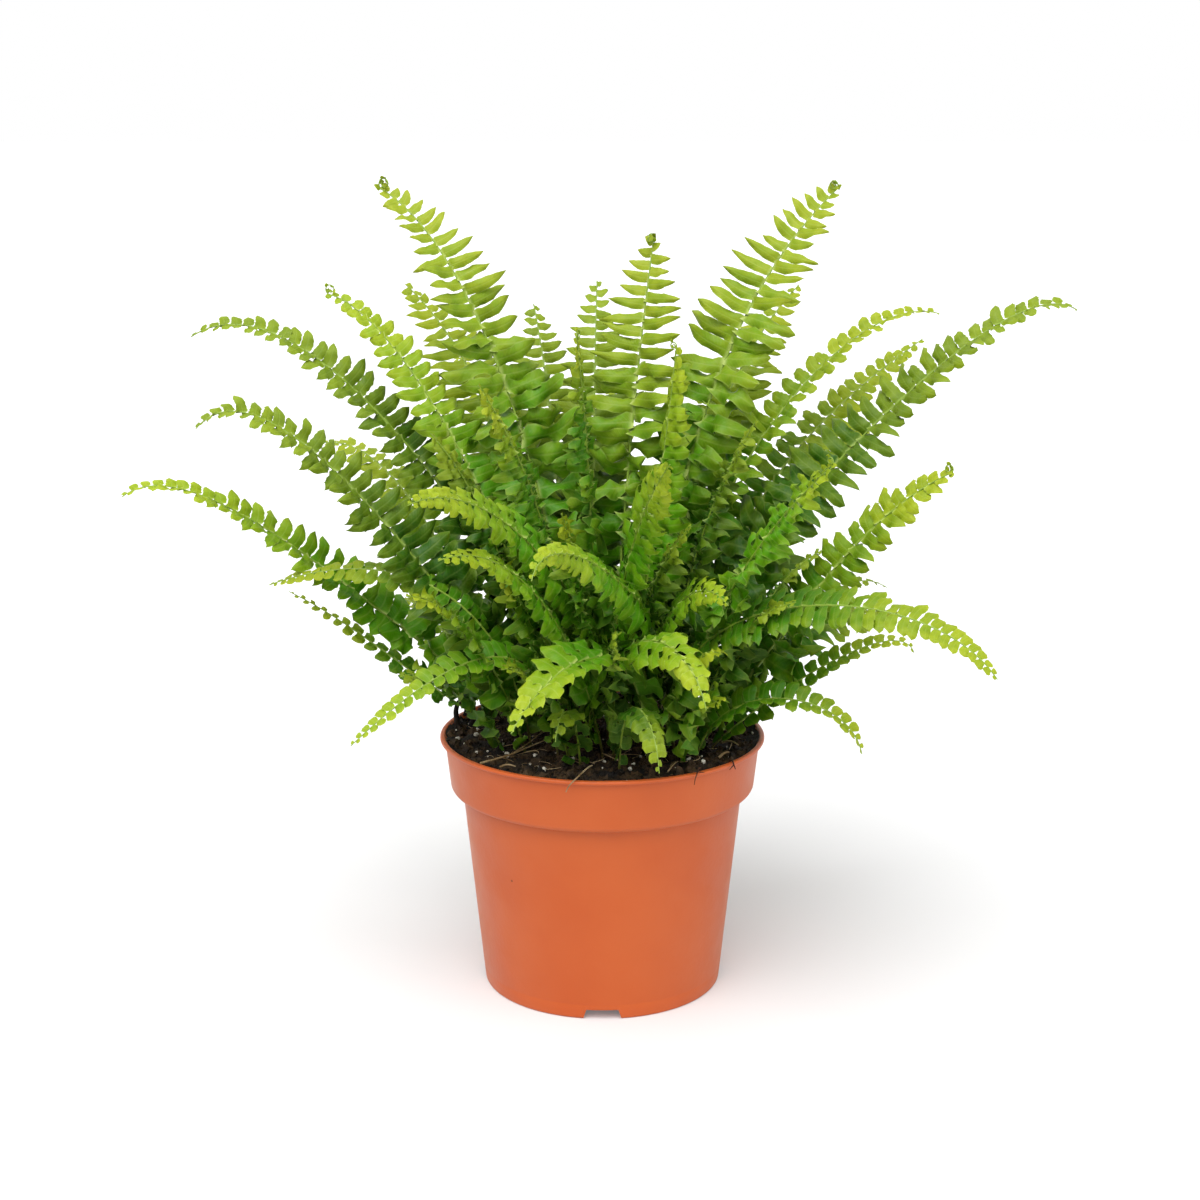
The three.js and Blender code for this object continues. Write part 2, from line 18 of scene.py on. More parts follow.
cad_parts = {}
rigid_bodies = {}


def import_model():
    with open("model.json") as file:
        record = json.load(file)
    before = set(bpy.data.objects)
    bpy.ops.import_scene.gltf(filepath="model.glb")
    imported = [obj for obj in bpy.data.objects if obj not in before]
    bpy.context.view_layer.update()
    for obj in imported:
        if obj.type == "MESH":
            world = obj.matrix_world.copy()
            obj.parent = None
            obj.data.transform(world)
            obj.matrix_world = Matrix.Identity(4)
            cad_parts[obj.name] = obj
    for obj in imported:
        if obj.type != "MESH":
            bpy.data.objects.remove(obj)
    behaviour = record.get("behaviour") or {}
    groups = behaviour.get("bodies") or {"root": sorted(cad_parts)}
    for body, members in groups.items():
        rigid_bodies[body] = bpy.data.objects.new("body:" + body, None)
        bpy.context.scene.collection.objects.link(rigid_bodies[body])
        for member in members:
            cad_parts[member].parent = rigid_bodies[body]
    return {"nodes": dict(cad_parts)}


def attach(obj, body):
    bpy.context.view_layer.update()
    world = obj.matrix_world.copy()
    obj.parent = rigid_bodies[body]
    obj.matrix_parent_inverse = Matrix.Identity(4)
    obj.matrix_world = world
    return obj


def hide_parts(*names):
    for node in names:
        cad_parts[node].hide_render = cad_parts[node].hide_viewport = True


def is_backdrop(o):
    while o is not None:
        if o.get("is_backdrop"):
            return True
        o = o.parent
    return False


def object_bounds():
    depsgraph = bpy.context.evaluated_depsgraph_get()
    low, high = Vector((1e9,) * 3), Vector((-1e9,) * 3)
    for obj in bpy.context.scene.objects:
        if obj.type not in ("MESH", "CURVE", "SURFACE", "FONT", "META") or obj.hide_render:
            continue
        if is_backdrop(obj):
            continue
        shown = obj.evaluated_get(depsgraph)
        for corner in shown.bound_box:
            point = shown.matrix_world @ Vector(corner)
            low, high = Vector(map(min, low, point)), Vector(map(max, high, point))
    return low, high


MM = 0.001
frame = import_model()
solid_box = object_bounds()
scene = bpy.context.scene
print("solids:", len(frame["nodes"]), "box:", [tuple(round(c / MM) for c in corner) for corner in solid_box])

# %% [markdown]
# ## Camera
# The viewer stands three quarters of a metre in front of the plant, a little above its crown,
# and looks slightly down. The rim then shows as a flat ellipse with some soil in it. A camera
# could be aimed by a constraint, but a place and one tilt say the same in two lines.

# %% Camera
CAMERA_PLACE = (-0.00085, -0.745, 0.320)
CAMERA_DOWN = 13.21  # degrees below level
CAMERA_LENS, FRAME_WIDTH = 62.8, 36  # millimetres
VIEW_LIMIT = 50  # metres

camera_data = bpy.data.cameras.new("camera")
camera_data.sensor_width = FRAME_WIDTH
camera_data.lens = CAMERA_LENS
camera_data.clip_end = VIEW_LIMIT
camera = bpy.data.objects.new("camera", camera_data)
camera.location = CAMERA_PLACE
camera.rotation_euler = (math.radians(90 - CAMERA_DOWN), 0, 0)
scene.collection.objects.link(camera)
scene.camera = camera
print("camera:", CAMERA_LENS, "mm lens,", CAMERA_DOWN, "degrees down")

# %% [markdown]
# ## Small helpers for node trees
# Shader trees and geometry trees are built in the same way: a node is added, its settings are
# made, and each input is either linked or given a value. A Figure stands for what flows out of
# a node, and sums are written with it as with any number, at one Math node a step. A formula
# then reads as it would on paper, where the same work in plain calls would take hundreds of
# lines.


# %% Figures
class Figure:
    """What one output of a node gives. Sums can be written with it."""

    def __init__(self, tree, socket):
        self.tree = tree
        self.socket = socket

    def maths(self, operation, a, b=0.0):
        return result(self.tree, "ShaderNodeMath", {0: a, 1: b}, operation=operation)

    def __add__(self, other):
        return self.maths("ADD", self, other)

    def __sub__(self, other):
        return self.maths("SUBTRACT", self, other)

    def __rsub__(self, other):
        return self.maths("SUBTRACT", other, self)

    def __mul__(self, other):
        return self.maths("MULTIPLY", self, other)

    def __truediv__(self, other):
        return self.maths("DIVIDE", self, other)

    def __pow__(self, power):
        return self.maths("POWER", self, power)

    def __abs__(self):
        return self.maths("ABSOLUTE", self)

    def sine(self):
        return self.maths("SINE", self)

    def cosine(self):
        return self.maths("COSINE", self)

    def at_least(self, other):
        return self.maths("MAXIMUM", self, other)

    def at_most(self, other):
        return self.maths("MINIMUM", self, other)

    def over(self, other):
        """1 where it is greater than the other, and 0 elsewhere."""
        return self.maths("GREATER_THAN", self, other)


# %% Adding nodes
def feed(tree, socket, value):
    """Link a socket to an output, or give it a value of its own."""
    if isinstance(value, Figure):
        value = value.socket
    if isinstance(value, bpy.types.NodeSocket):
        tree.links.new(value, socket)
    else:
        socket.default_value = value


def add_node(tree, kind, inputs=(), **settings):
    """Add a node, make its settings and feed its inputs, by name or by number."""
    node = tree.nodes.new(kind)
    for name, value in settings.items():
        setattr(node, name, value)
    for key, value in dict(inputs).items():
        feed(tree, node.inputs[key], value)
    return node


def result(tree, kind, inputs=(), output=0, **settings):
    """Add a node and give one of its outputs."""
    return Figure(tree, add_node(tree, kind, inputs, **settings).outputs[output])


def vectors(tree, operation, a, b=(0, 0, 0)):
    """One step of arithmetic on vectors. SCALE takes a value in place of the second one."""
    node = add_node(tree, "ShaderNodeVectorMath", {0: a}, operation=operation)
    feed(tree, node.inputs["Scale" if operation == "SCALE" else 1], b)
    gives_value = operation in ("DOT_PRODUCT", "LENGTH")
    return Figure(tree, node.outputs["Value" if gives_value else "Vector"])


def span(tree, value, low, high, to_low=0.0, to_high=1.0, smooth=True):
    """Map a value from one range to another and hold it there."""
    ranges = {"Value": value, "From Min": low, "From Max": high, "To Min": to_low, "To Max": to_high}
    ease = "SMOOTHSTEP" if smooth else "LINEAR"
    return result(tree, "ShaderNodeMapRange", ranges, "Result", interpolation_type=ease)


def blend_colours(tree, share, a, b):
    """Mix two colours by a share."""
    return result(tree, "ShaderNodeMix", {0: share, 6: a, 7: b}, 2, data_type="RGBA")


# %% Groups and materials
def new_group(name, kind, inputs, outputs):
    """A node group with named sockets, given as (name, type, value)."""
    tree = bpy.data.node_groups.new(name, kind)
    for in_out, sockets in (("INPUT", inputs), ("OUTPUT", outputs)):
        for label, socket_type, value in sockets:
            socket = tree.interface.new_socket(label, in_out=in_out, socket_type="NodeSocket" + socket_type)
            if value is not None:
                socket.default_value = value
    taken = tree.nodes.new("NodeGroupInput").outputs
    given = {label: Figure(tree, taken[label]) for label, _, _ in inputs}
    return tree, given, tree.nodes.new("NodeGroupOutput").inputs


def use_group(tree, group, **values):
    """Place a group in a tree with its own values, and give its outputs by name."""
    node = add_node(tree, "ShaderNodeGroup", node_tree=group)
    for name, value in values.items():
        feed(tree, node.inputs[name.replace("_", " ")], value)
    return {socket.name: Figure(tree, socket) for socket in node.outputs}


def new_material(name, **values):
    """A material with one Principled shader, whose sockets are given values by name."""
    material = bpy.data.materials.new(name)
    material.use_nodes = True
    tree = material.node_tree
    shader = tree.nodes["Principled BSDF"]
    for label, value in values.items():
        feed(tree, shader.inputs[label.replace("_", " ")], value)
    return material, tree, shader


def emboss(tree, shader, height, strength, depth):
    """Give a shader small relief, as deep as a length in metres."""
    relief = {"Height": height, "Strength": strength, "Distance": depth}
    feed(tree, shader.inputs["Normal"], result(tree, "ShaderNodeBump", relief, "Normal"))


def rgb(code):
    """A colour written as on screen, such as 0xd6693c, as the light it stands for."""
    parts = [((code >> shift) & 255) / 255 for shift in (16, 8, 0)]
    return (*(c / 12.92 if c <= 0.04045 else ((c + 0.055) / 1.055) ** 2.4 for c in parts), 1.0)


# %% [markdown]
# ## Floor and light
# The plant stands on a white table that runs out of sight, in soft studio light. The key light
# is very broad and comes from above on the left, so the pot's shadow falls softly to the right.
# A weak fill comes from the right, and a pale sky, brighter overhead, keeps the shadows light.
# Suns with a wide angle light the whole table alike, where area lamps near the plant would
# leave its far end grey. To the eye the table also glows with painted light: a little near the
# pot, so that the floor there reads darker as painted shade, and more with distance, so that it
# melts into the white behind it.

# %% Floor and light
WHITE = (1, 1, 1, 1)
TABLE_WHITE = (0.7, 0.7, 0.7, 1)
TABLE_SIZE = 40  # metres, so that its edge is never seen
GLOW_FROM, GLOW_TO = 0.05, 0.6  # metres from the middle of the pot
# painted light on the table, weakest near the pot, where the dimmer floor is painted shade
GLOW_NEAR, GLOW_FAR = 0.15, 0.4
SKY_ABOVE, SKY_LEVEL = 0.58, 0.22
LIGHT_SPREAD = 60  # degrees across, as wide as a large soft box close by
LIGHTS = {"key": (3.1, (-0.22, -0.6, 1.0)), "fill": (0.7, (1.0, -0.5, 0.3))}  # strength, side

bpy.ops.mesh.primitive_plane_add(size=TABLE_SIZE)
floor = bpy.context.object
floor.name = "floor"
table, tree, shader = new_material("white table", Base_Color=TABLE_WHITE, Roughness=0.9,
                                   Specular_IOR_Level=0.1, Emission_Color=WHITE)
seen = result(tree, "ShaderNodeLightPath", output="Is Camera Ray")
distance = vectors(tree, "LENGTH", result(tree, "ShaderNodeTexCoord", output="Object"))
glow = span(tree, distance, GLOW_FROM, GLOW_TO, GLOW_NEAR, GLOW_FAR, smooth=False)
feed(tree, shader.inputs["Emission Strength"], glow * seen)
floor.data.materials.append(table)
floor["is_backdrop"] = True

sky = bpy.data.worlds.new("studio")
sky.use_nodes = True
tree = sky.node_tree
tree.nodes.clear()
rays = add_node(tree, "ShaderNodeLightPath").outputs
seen = Figure(tree, rays["Is Camera Ray"]).at_least(rays["Is Glossy Ray"])
heading = result(tree, "ShaderNodeTexCoord", output="Generated")
upwards = result(tree, "ShaderNodeSeparateXYZ", {0: heading}, "Z")
overhead = span(tree, upwards, 0.0, 0.8, SKY_LEVEL, SKY_ABOVE, smooth=False)
light = result(tree, "ShaderNodeBackground", {"Color": WHITE, "Strength": seen.at_least(overhead)})
add_node(tree, "ShaderNodeOutputWorld", {"Surface": light})
scene.world = sky
scene.view_settings.view_transform = "Standard"

for name, (strength, side) in LIGHTS.items():
    lamp = bpy.data.lights.new(name, "SUN")
    lamp.energy = strength
    lamp.angle = math.radians(LIGHT_SPREAD)
    light = bpy.data.objects.new(name, lamp)
    light.rotation_euler = Vector(side).to_track_quat("Z", "Y").to_euler()
    scene.collection.objects.link(light)
print("lights:", ", ".join(LIGHTS), "table:", TABLE_SIZE, "m across")

# %% [markdown]
# ## Effects that several finishes share
# No real surface is one even colour. Cloudy tone is a slow drift between two values, which the
# pot, the soil and the leaves all use at their own scale. Fine grain is the small relief of a
# moulded or crumbly surface. Each is a node group, built once, so that a change to it shows
# everywhere.

# %% Shared shader groups
LUMP_SPACING = 0.31  # lumps in the grain for each of its dots

cloudy, given, gives = new_group(
    "Cloudy tone", "ShaderNodeTree",
    [("Scale", "Float", 60.0), ("Detail", "Float", 3.0), ("Low", "Float", 0.0), ("High", "Float", 1.0)],
    [("Tone", "Float", None)])
place = result(cloudy, "ShaderNodeTexCoord", output="Object")
drift = {"Vector": place, "Scale": given["Scale"], "Detail": given["Detail"]}
drift = result(cloudy, "ShaderNodeTexNoise", drift, "Fac")
feed(cloudy, gives["Tone"], span(cloudy, drift, 0.32, 0.68, given["Low"], given["High"]))

grain, given, gives = new_group(
    "Fine grain", "ShaderNodeTree",
    [("Scale", "Float", 900.0), ("Lumps", "Float", 0.5)],
    [("Height", "Float", None)])
place = result(grain, "ShaderNodeTexCoord", output="Object")
fine = {"Vector": place, "Scale": given["Scale"], "Detail": 2.0}
fine = result(grain, "ShaderNodeTexNoise", fine, "Fac")
coarse = {"Vector": place, "Scale": given["Scale"] * LUMP_SPACING}
coarse = result(grain, "ShaderNodeTexVoronoi", coarse, "Distance")
feed(grain, gives["Height"], fine + coarse * given["Lumps"])
print("shared groups:", cloudy.name, "and", grain.name)

# %% [markdown]
# ## The pot
# A nursery pot is thin plastic, moulded in one shot: a rolled bead at the rim, a collar that
# lets pots nest, a body that tapers to the foot, and a raised floor with holes and notches, so
# that water can run out from under it. Turned forms like this are best drawn as one profile and
# spun. The profile's corners are rounded here in the drawing, where each gets its own radius,
# which a single bevel over the whole pot could not give.

# %% Pot profile
POT_HEIGHT = 95
WALL = 1.6
FOOT_RADIUS, FOOT_RECESS = 44.2, 3.4
SHOULDER_RADIUS, SHOULDER_Z = 51.9, 74.5
COLLAR_FOOT_RADIUS, COLLAR_FOOT_Z = 56.3, 77.5
COLLAR_TOP_RADIUS, RIM_RADIUS, BEAD_HEIGHT = 58.2, 60, 1.5
MOUTH_RADIUS, THROAT_RADIUS, THROAT_Z = 58.4, 57.2, 93.2
POT_SEGMENTS = 192


def body_radius(z):
    """Radius of the pot's outside below its collar."""
    return FOOT_RADIUS + (SHOULDER_RADIUS - FOOT_RADIUS) * z / SHOULDER_Z


def rounded(corners, steps=5):
    """The points of a line whose corners, given as (radius, height, rounding), are arcs."""
    points = []
    for i, (r, z, rounding) in enumerate(corners):
        corner = Vector((r, z))
        if rounding == 0 or i in (0, len(corners) - 1):
            points.append(corner)
            continue
        before = (Vector(corners[i - 1][:2]) - corner).normalized()
        after = (Vector(corners[i + 1][:2]) - corner).normalized()
        half = before.angle(after) / 2
        centre = corner + (before + after).normalized() * (rounding / math.sin(half))
        start = corner + before * (rounding / math.tan(half)) - centre
        end = corner + after * (rounding / math.tan(half)) - centre
        for step in range(steps + 1):
            points.append(centre + start.slerp(end, step / steps).normalized() * rounding)
    return points


bead_foot = POT_HEIGHT - BEAD_HEIGHT
floor_top = FOOT_RECESS + WALL
pot_profile = rounded([
    (0, FOOT_RECESS, 0),
    (FOOT_RADIUS - 4, FOOT_RECESS, 0.8),
    (FOOT_RADIUS - 2.9, 0, 0.5),
    (FOOT_RADIUS, 0, 0.9),
    (body_radius(5.1), 5.1, 0),
    (body_radius(5.5) - 0.06, 5.5, 0),
    (body_radius(5.9), 5.9, 0),
    (SHOULDER_RADIUS, SHOULDER_Z, 0.7),
    (COLLAR_FOOT_RADIUS - 0.2, SHOULDER_Z + 0.5, 2.4),
    (COLLAR_TOP_RADIUS, bead_foot, 0.4),
    (RIM_RADIUS, bead_foot + 0.1, 0.6),
    (RIM_RADIUS, POT_HEIGHT, 0.7),
    (MOUTH_RADIUS, POT_HEIGHT, 0.3),
    (THROAT_RADIUS, THROAT_Z, 0.6),
    (COLLAR_FOOT_RADIUS - WALL - 0.4, SHOULDER_Z + 2, 1.2),
    (SHOULDER_RADIUS - WALL, SHOULDER_Z - 0.4, 1.2),
    (body_radius(floor_top) - WALL, floor_top, 1.5),
    (0, floor_top, 0),
])
print("pot profile:", len(pot_profile), "points")


# %% Turning a profile
def thing_from(build, name):
    """An object that holds the mesh just built."""
    mesh = bpy.data.meshes.new(name)
    build.to_mesh(mesh)
    build.free()
    return bpy.data.objects.new(name, mesh)


def tube_faces(build, rings):
    """Faces between rings of the same count. A ring of one vertex closes to a point."""
    for low, high in zip(rings, rings[1:]):
        count = max(len(low), len(high))
        for k in range(count):
            n = (k + 1) % count
            corners = [low[k % len(low)], low[n % len(low)], high[n % len(high)], high[k % len(high)]]
            build.faces.new(list(dict.fromkeys(corners)))


def spun(name, profile, segments):
    """A closed mesh of a profile, from axis to axis, turned about Z."""
    build = bmesh.new()
    rings = []
    for point in profile:
        count = 1 if point.x < 1e-6 else segments
        turns = [2 * math.pi * k / segments for k in range(count)]
        rings.append([build.verts.new(Vector((point.x * math.cos(a), point.x * math.sin(a), point.y)) * MM)
                      for a in turns])
    tube_faces(build, rings)
    bmesh.ops.recalc_face_normals(build, faces=build.faces)
    thing = thing_from(build, name)
    scene.collection.objects.link(thing)
    return thing


def plain_mesh(maker, name, material=None):
    """Turn an object and its live modifiers into a plain mesh object, and remove the first."""
    depsgraph = bpy.context.evaluated_depsgraph_get()
    shape = maker.evaluated_get(depsgraph)
    mesh = bpy.data.meshes.new_from_object(shape, preserve_all_data_layers=True, depsgraph=depsgraph)
    mesh.name = name
    bpy.data.objects.remove(maker)
    thing = bpy.data.objects.new(name, mesh)
    scene.collection.objects.link(thing)
    if material:
        mesh.materials.clear()
        mesh.materials.append(material)
    return thing


def smooth_to(thing, degrees):
    """Shade smoothly, apart from edges sharper than an angle."""
    build = bmesh.new()
    build.from_mesh(thing.data)
    for face in build.faces:
        face.smooth = True
    for edge in build.edges:
        edge.smooth = len(edge.link_faces) == 2 and edge.calc_face_angle(0) < math.radians(degrees)
    build.to_mesh(thing.data)
    build.free()


# %% [markdown]
# Four notches run under the foot ring and six holes go through the floor. They are cut, as a
# mould's cores would leave them, with one boolean each for the notches and the drains, and a
# small bevel then takes the cut edges off.

# %% Pot mesh
NOTCH_TOP, NOTCH_FOOT, NOTCH_HEIGHT = 11.6, 14.5, 3.7
NOTCH_COUNT, NOTCH_REACH, NOTCH_BELOW = 4, 8, 1
DRAIN_COUNT, DRAIN_RADIUS, DRAIN_CIRCLE = 6, 4, 27
EDGE_EASE, EDGE_ANGLE = 0.3, 50
SHARP_FROM = 38  # degrees


def notch_cutter():
    """The wedges that the notches take out of the foot ring."""
    build = bmesh.new()
    half_foot, half_top = NOTCH_FOOT / 2, NOTCH_TOP / 2
    outline = [(-half_foot, -NOTCH_BELOW), (half_foot, -NOTCH_BELOW),
               (half_top, NOTCH_HEIGHT), (-half_top, NOTCH_HEIGHT)]
    for k in range(NOTCH_COUNT):
        turn = Matrix.Rotation(2 * math.pi * k / NOTCH_COUNT, 4, "Z")
        near, far = ([build.verts.new(turn @ (Vector((x, y, z)) * MM)) for x, z in outline]
                     for y in (-FOOT_RADIUS - NOTCH_REACH / 2, -FOOT_RADIUS + NOTCH_REACH / 2))
        build.faces.new(near)
        build.faces.new(far[::-1])
        tube_faces(build, [near, far])
    bmesh.ops.recalc_face_normals(build, faces=build.faces)
    return thing_from(build, "notches")


def drain_cutter():
    """The pegs that the drains take out of the floor."""
    build = bmesh.new()
    radius, middle_height = DRAIN_RADIUS * MM, FOOT_RECESS + WALL / 2
    for k in range(DRAIN_COUNT):
        angle = 2 * math.pi * (k + 0.5) / DRAIN_COUNT
        middle = Vector((DRAIN_CIRCLE * math.cos(angle), DRAIN_CIRCLE * math.sin(angle), middle_height))
        bmesh.ops.create_cone(build, cap_ends=True, segments=32, radius1=radius, radius2=radius,
                              depth=3 * WALL * MM, matrix=Matrix.Translation(middle * MM))
    return thing_from(build, "drains")


pot_blank = spun("pot_blank", pot_profile, POT_SEGMENTS)
cutters = [notch_cutter(), drain_cutter()]
for cutter in cutters:
    scene.collection.objects.link(cutter)
    cut = pot_blank.modifiers.new(cutter.name, "BOOLEAN")
    cut.object = cutter
    cut.solver = "EXACT"
ease = pot_blank.modifiers.new("eased edges", "BEVEL")
ease.width = EDGE_EASE * MM
ease.segments = 2
ease.limit_method = "ANGLE"
ease.angle_limit = math.radians(EDGE_ANGLE)
pot = plain_mesh(pot_blank, "moulded_pot")
for cutter in cutters:
    bpy.data.objects.remove(cutter)
smooth_to(pot, SHARP_FROM)
print("pot faces:", len(pot.data.polygons))

# %% [markdown]
# ## The pot's plastic
# Pots like this are dyed right through, so wear never shows another colour. What keeps the real
# one from looking flat is a slow drift in its colour, a satin gloss that is a little uneven, a
# haze of dust that pales its sides, specks of dirt, and a film of soil on the rim. A painted
# image could hold most of this, but noise on the object's own coordinates needs no seam and no
# picture, and a thin sheen gives the haze at any angle.

# %% Pot material
POT_ORANGE = rgb(0xC55412)
POT_PALE = rgb(0xCE6022)
DIRT = rgb(0x3A2418)
POT_HAZE, HAZE_TINT = 0.09, (1.0, 0.82, 0.6, 1.0)
SPECK_CELLS, SPECK_RARITY = 95.0, 0.93  # cells in a metre, and the share of them left clean
SPECK_CORE, SPECK_EDGE = 0.035, 0.06  # radius against its cell
DIRT_COVER, DIRT_DULLS = 0.8, 0.3
GRAIN_STRENGTH, GRAIN_DEPTH = 0.12, 0.4 * MM
FILM_FROM, FILM_TO, FILM_WEIGHT = 94.4 * MM, 95.1 * MM, 0.22

pot_plastic, tree, shader = new_material(
    "orange plastic", Specular_IOR_Level=0.5, Sheen_Weight=POT_HAZE, Sheen_Roughness=0.5,
    Sheen_Tint=HAZE_TINT)
drifting = use_group(tree, cloudy, Scale=26.0, Detail=3.0, Low=0.0, High=0.55)["Tone"]
colour = blend_colours(tree, drifting, POT_ORANGE, POT_PALE)
place = result(tree, "ShaderNodeTexCoord", output="Object")
cells = {"Vector": place, "Scale": SPECK_CELLS, "Randomness": 1.0}
cells = add_node(tree, "ShaderNodeTexVoronoi", cells).outputs
chosen = result(tree, "ShaderNodeSeparateColor", {"Color": cells["Color"]}).over(SPECK_RARITY)
specks = chosen * span(tree, cells["Distance"], SPECK_CORE, SPECK_EDGE, 1, 0)
height = result(tree, "ShaderNodeSeparateXYZ", {"Vector": place}, "Z")
smear = use_group(tree, cloudy, Scale=420.0, Detail=4.0, Low=0.0, High=1.0)["Tone"]
dirty = specks.at_least(smear * span(tree, height, FILM_FROM, FILM_TO, 0, FILM_WEIGHT))
feed(tree, shader.inputs["Base Color"], blend_colours(tree, dirty * DIRT_COVER, colour, DIRT))
gloss = use_group(tree, cloudy, Scale=70.0, Detail=5.0, Low=0.36, High=0.47)["Tone"]
feed(tree, shader.inputs["Roughness"], gloss + dirty * DIRT_DULLS)
relief = use_group(tree, grain, Scale=700.0, Lumps=0.3)["Height"]
emboss(tree, shader, relief, GRAIN_STRENGTH, GRAIN_DEPTH)
pot.data.materials.append(pot_plastic)
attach(pot, "root")
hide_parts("pot")
print("pot finished in", pot_plastic.name)

# %% [markdown]
# ## The soil
# Potting soil is peat in crumbs of every size, with white grains of perlite, bits of straw and
# fine dead roots on top. Its body here is one closed solid that fills the pot, with a bumpy top.
# The crumbs, grains and fibres are then strewn over that top by one Geometry Nodes tree, which
# turns and sizes each of them by chance from a fixed seed. Placing them by hand would take
# hours, and bump alone would leave a smooth line where the soil meets the rim.

# %% Soil body
SOIL_TOP = 92.6
SOIL_RELIEF = 0.8
SOIL_BANK = 1.9  # how far it laps up at the rim
SOIL_EDGE = MOUTH_RADIUS - 0.3
SOIL_RINGS, SOIL_SEGMENTS = 46, 150


def soil_height(x, y):
    """Height of the soil, in millimetres: two slow waves."""
    waves = math.sin(x / 9 + 1.3) * math.cos(y / 11) + 0.5 * math.sin(y / 6 + x / 14)
    return SOIL_TOP + SOIL_RELIEF * waves


def clods(x, y):
    """What lumps of peat add to it."""
    spot = Vector((x, y, 0))
    return 1.3 * noise.noise(spot / 7) + 0.8 * noise.noise(spot / 3.1) + 0.4 * noise.noise(spot / 1.4)


soil_profile = [Vector(p) for p in [
    (0, floor_top + 0.3), (body_radius(floor_top) - WALL - 0.5, floor_top + 0.3),
    (SHOULDER_RADIUS - WALL - 0.6, SHOULDER_Z), (COLLAR_FOOT_RADIUS - WALL - 0.6, COLLAR_FOOT_Z + 0.6),
    (THROAT_RADIUS - 0.5, SOIL_TOP - 0.6)]]
soil_profile += [Vector((SOIL_EDGE * (1 - k / SOIL_RINGS), SOIL_TOP)) for k in range(SOIL_RINGS + 1)]
soil = spun("peat", soil_profile, SOIL_SEGMENTS)
for vertex in soil.data.vertices:
    x, y, z = vertex.co / MM
    if z > SOIL_TOP - 0.1:
        settle = min(1, (SOIL_EDGE - math.hypot(x, y)) / 6)
        bank = SOIL_BANK * (1 - settle) ** 2
        vertex.co.z = (SOIL_TOP + bank + (soil_height(x, y) - SOIL_TOP) * settle + clods(x, y)) * MM
smooth_to(soil, 80)
print("soil faces:", len(soil.data.polygons))

# %% [markdown]
# Each loose thing on the soil is one of a few small shapes. A crumb is a dented ball of twenty
# faces split once, and a fibre is a bent, tapering thread.

# %% Loose shapes
STRAY_SEED = 7
FIBRE_SIDES, FIBRE_STEPS, FIBRE_RADIUS = 5, 7, 0.016  # radius against its length


def hidden(name, shapes):
    """A collection of shapes to pick from, kept out of the scene."""
    collection = bpy.data.collections.new(name)
    for shape in shapes:
        collection.objects.link(shape)
    return collection


def crumb(name, seed, dents, flat):
    """A dented ball about one unit across."""
    build = bmesh.new()
    bmesh.ops.create_icosphere(build, subdivisions=2, radius=0.5)
    for vertex in build.verts:
        spot = vertex.co + Vector((seed * 7.3, 0, 0))
        vertex.co *= 1 + dents * (noise.noise(spot * 2.6) + 0.6 * noise.noise(spot * 6.5))
        vertex.co.z *= flat
    return thing_from(build, name)


def fibre(name, rng, bend):
    """A bent thread one unit long, from its middle out."""
    build = bmesh.new()
    turn, lift = rng.uniform(-bend, bend), rng.uniform(0, bend / 3)
    rings = []
    for i in range(FIBRE_STEPS + 1):
        t = i / FIBRE_STEPS - 0.5
        middle = Vector((t, turn * (t * t - 0.1) * 2, lift * (0.25 - t * t)))
        thick = FIBRE_RADIUS * (1 - 1.2 * t * t)
        turns = [2 * math.pi * k / FIBRE_SIDES for k in range(FIBRE_SIDES)]
        rings.append([build.verts.new(middle + Vector((0, math.cos(a), math.sin(a))) * thick) for a in turns])
    tube_faces(build, rings)
    build.faces.new(rings[0])
    build.faces.new(rings[-1])
    bmesh.ops.recalc_face_normals(build, faces=build.faces)
    for face in build.faces:
        face.smooth = len(face.verts) == 4
    return thing_from(build, name)


stray = random.Random(STRAY_SEED)
crumbs = hidden("crumbs", [crumb(f"crumb_{k}", k, 1.1, 0.7) for k in range(6)])
grains = hidden("grains", [crumb(f"grain_{k}", k + 20, 0.5, 0.9) for k in range(3)])
fibres = hidden("fibres", [fibre(f"fibre_{k}", stray, 0.8) for k in range(5)])
for shapes in (crumbs, grains, fibres):
    print(shapes.name, len(shapes.objects))

# %% [markdown]
# The tree that strews them takes the soil as its input, picks the faces that look up and lie
# inside an edge, puts points on them, and sets one shape on each point. Its sizes are inputs, so
# the same tree serves crumbs, grains and fibres.

# %% Strewing tree
UPWARD = 0.2  # least height of a face's normal
MOST_SHAPES = 9

strew, given, gives = new_group(
    "Strew", "GeometryNodeTree",
    [("Ground", "Geometry", None), ("Shapes", "Collection", None), ("Density", "Float", 1.0),
     ("Smallest", "Float", 0.001), ("Largest", "Float", 0.003), ("Evenness", "Float", 3.0),
     ("Reach", "Float", 0.05), ("Tilt", "Float", 3.2), ("Sink", "Float", 0.0), ("Seed", "Int", 1),
     ("Finish", "Material", None)],
    [("Geometry", "Geometry", None)])
strew.is_modifier = True


def chance(tree, low, high, seed):
    """A value drawn anew for each point."""
    return result(tree, "FunctionNodeRandomValue", {2: low, 3: high, 8: seed}, 1, data_type="FLOAT")


def pick_number(tree, low, high, seed):
    """A whole number drawn anew for each point."""
    return result(tree, "FunctionNodeRandomValue", {4: low, 5: high, 8: seed}, 2, data_type="INT")


def shapes_in(tree, collection):
    """The shapes of a collection, to pick one of for each point."""
    settings = {"Collection": collection, "Separate Children": True, "Reset Children": True}
    return result(tree, "GeometryNodeCollectionInfo", settings)


def finish_with(tree, geometry, material):
    """Give geometry its material."""
    return result(tree, "GeometryNodeSetMaterial", {"Geometry": geometry, "Material": material})


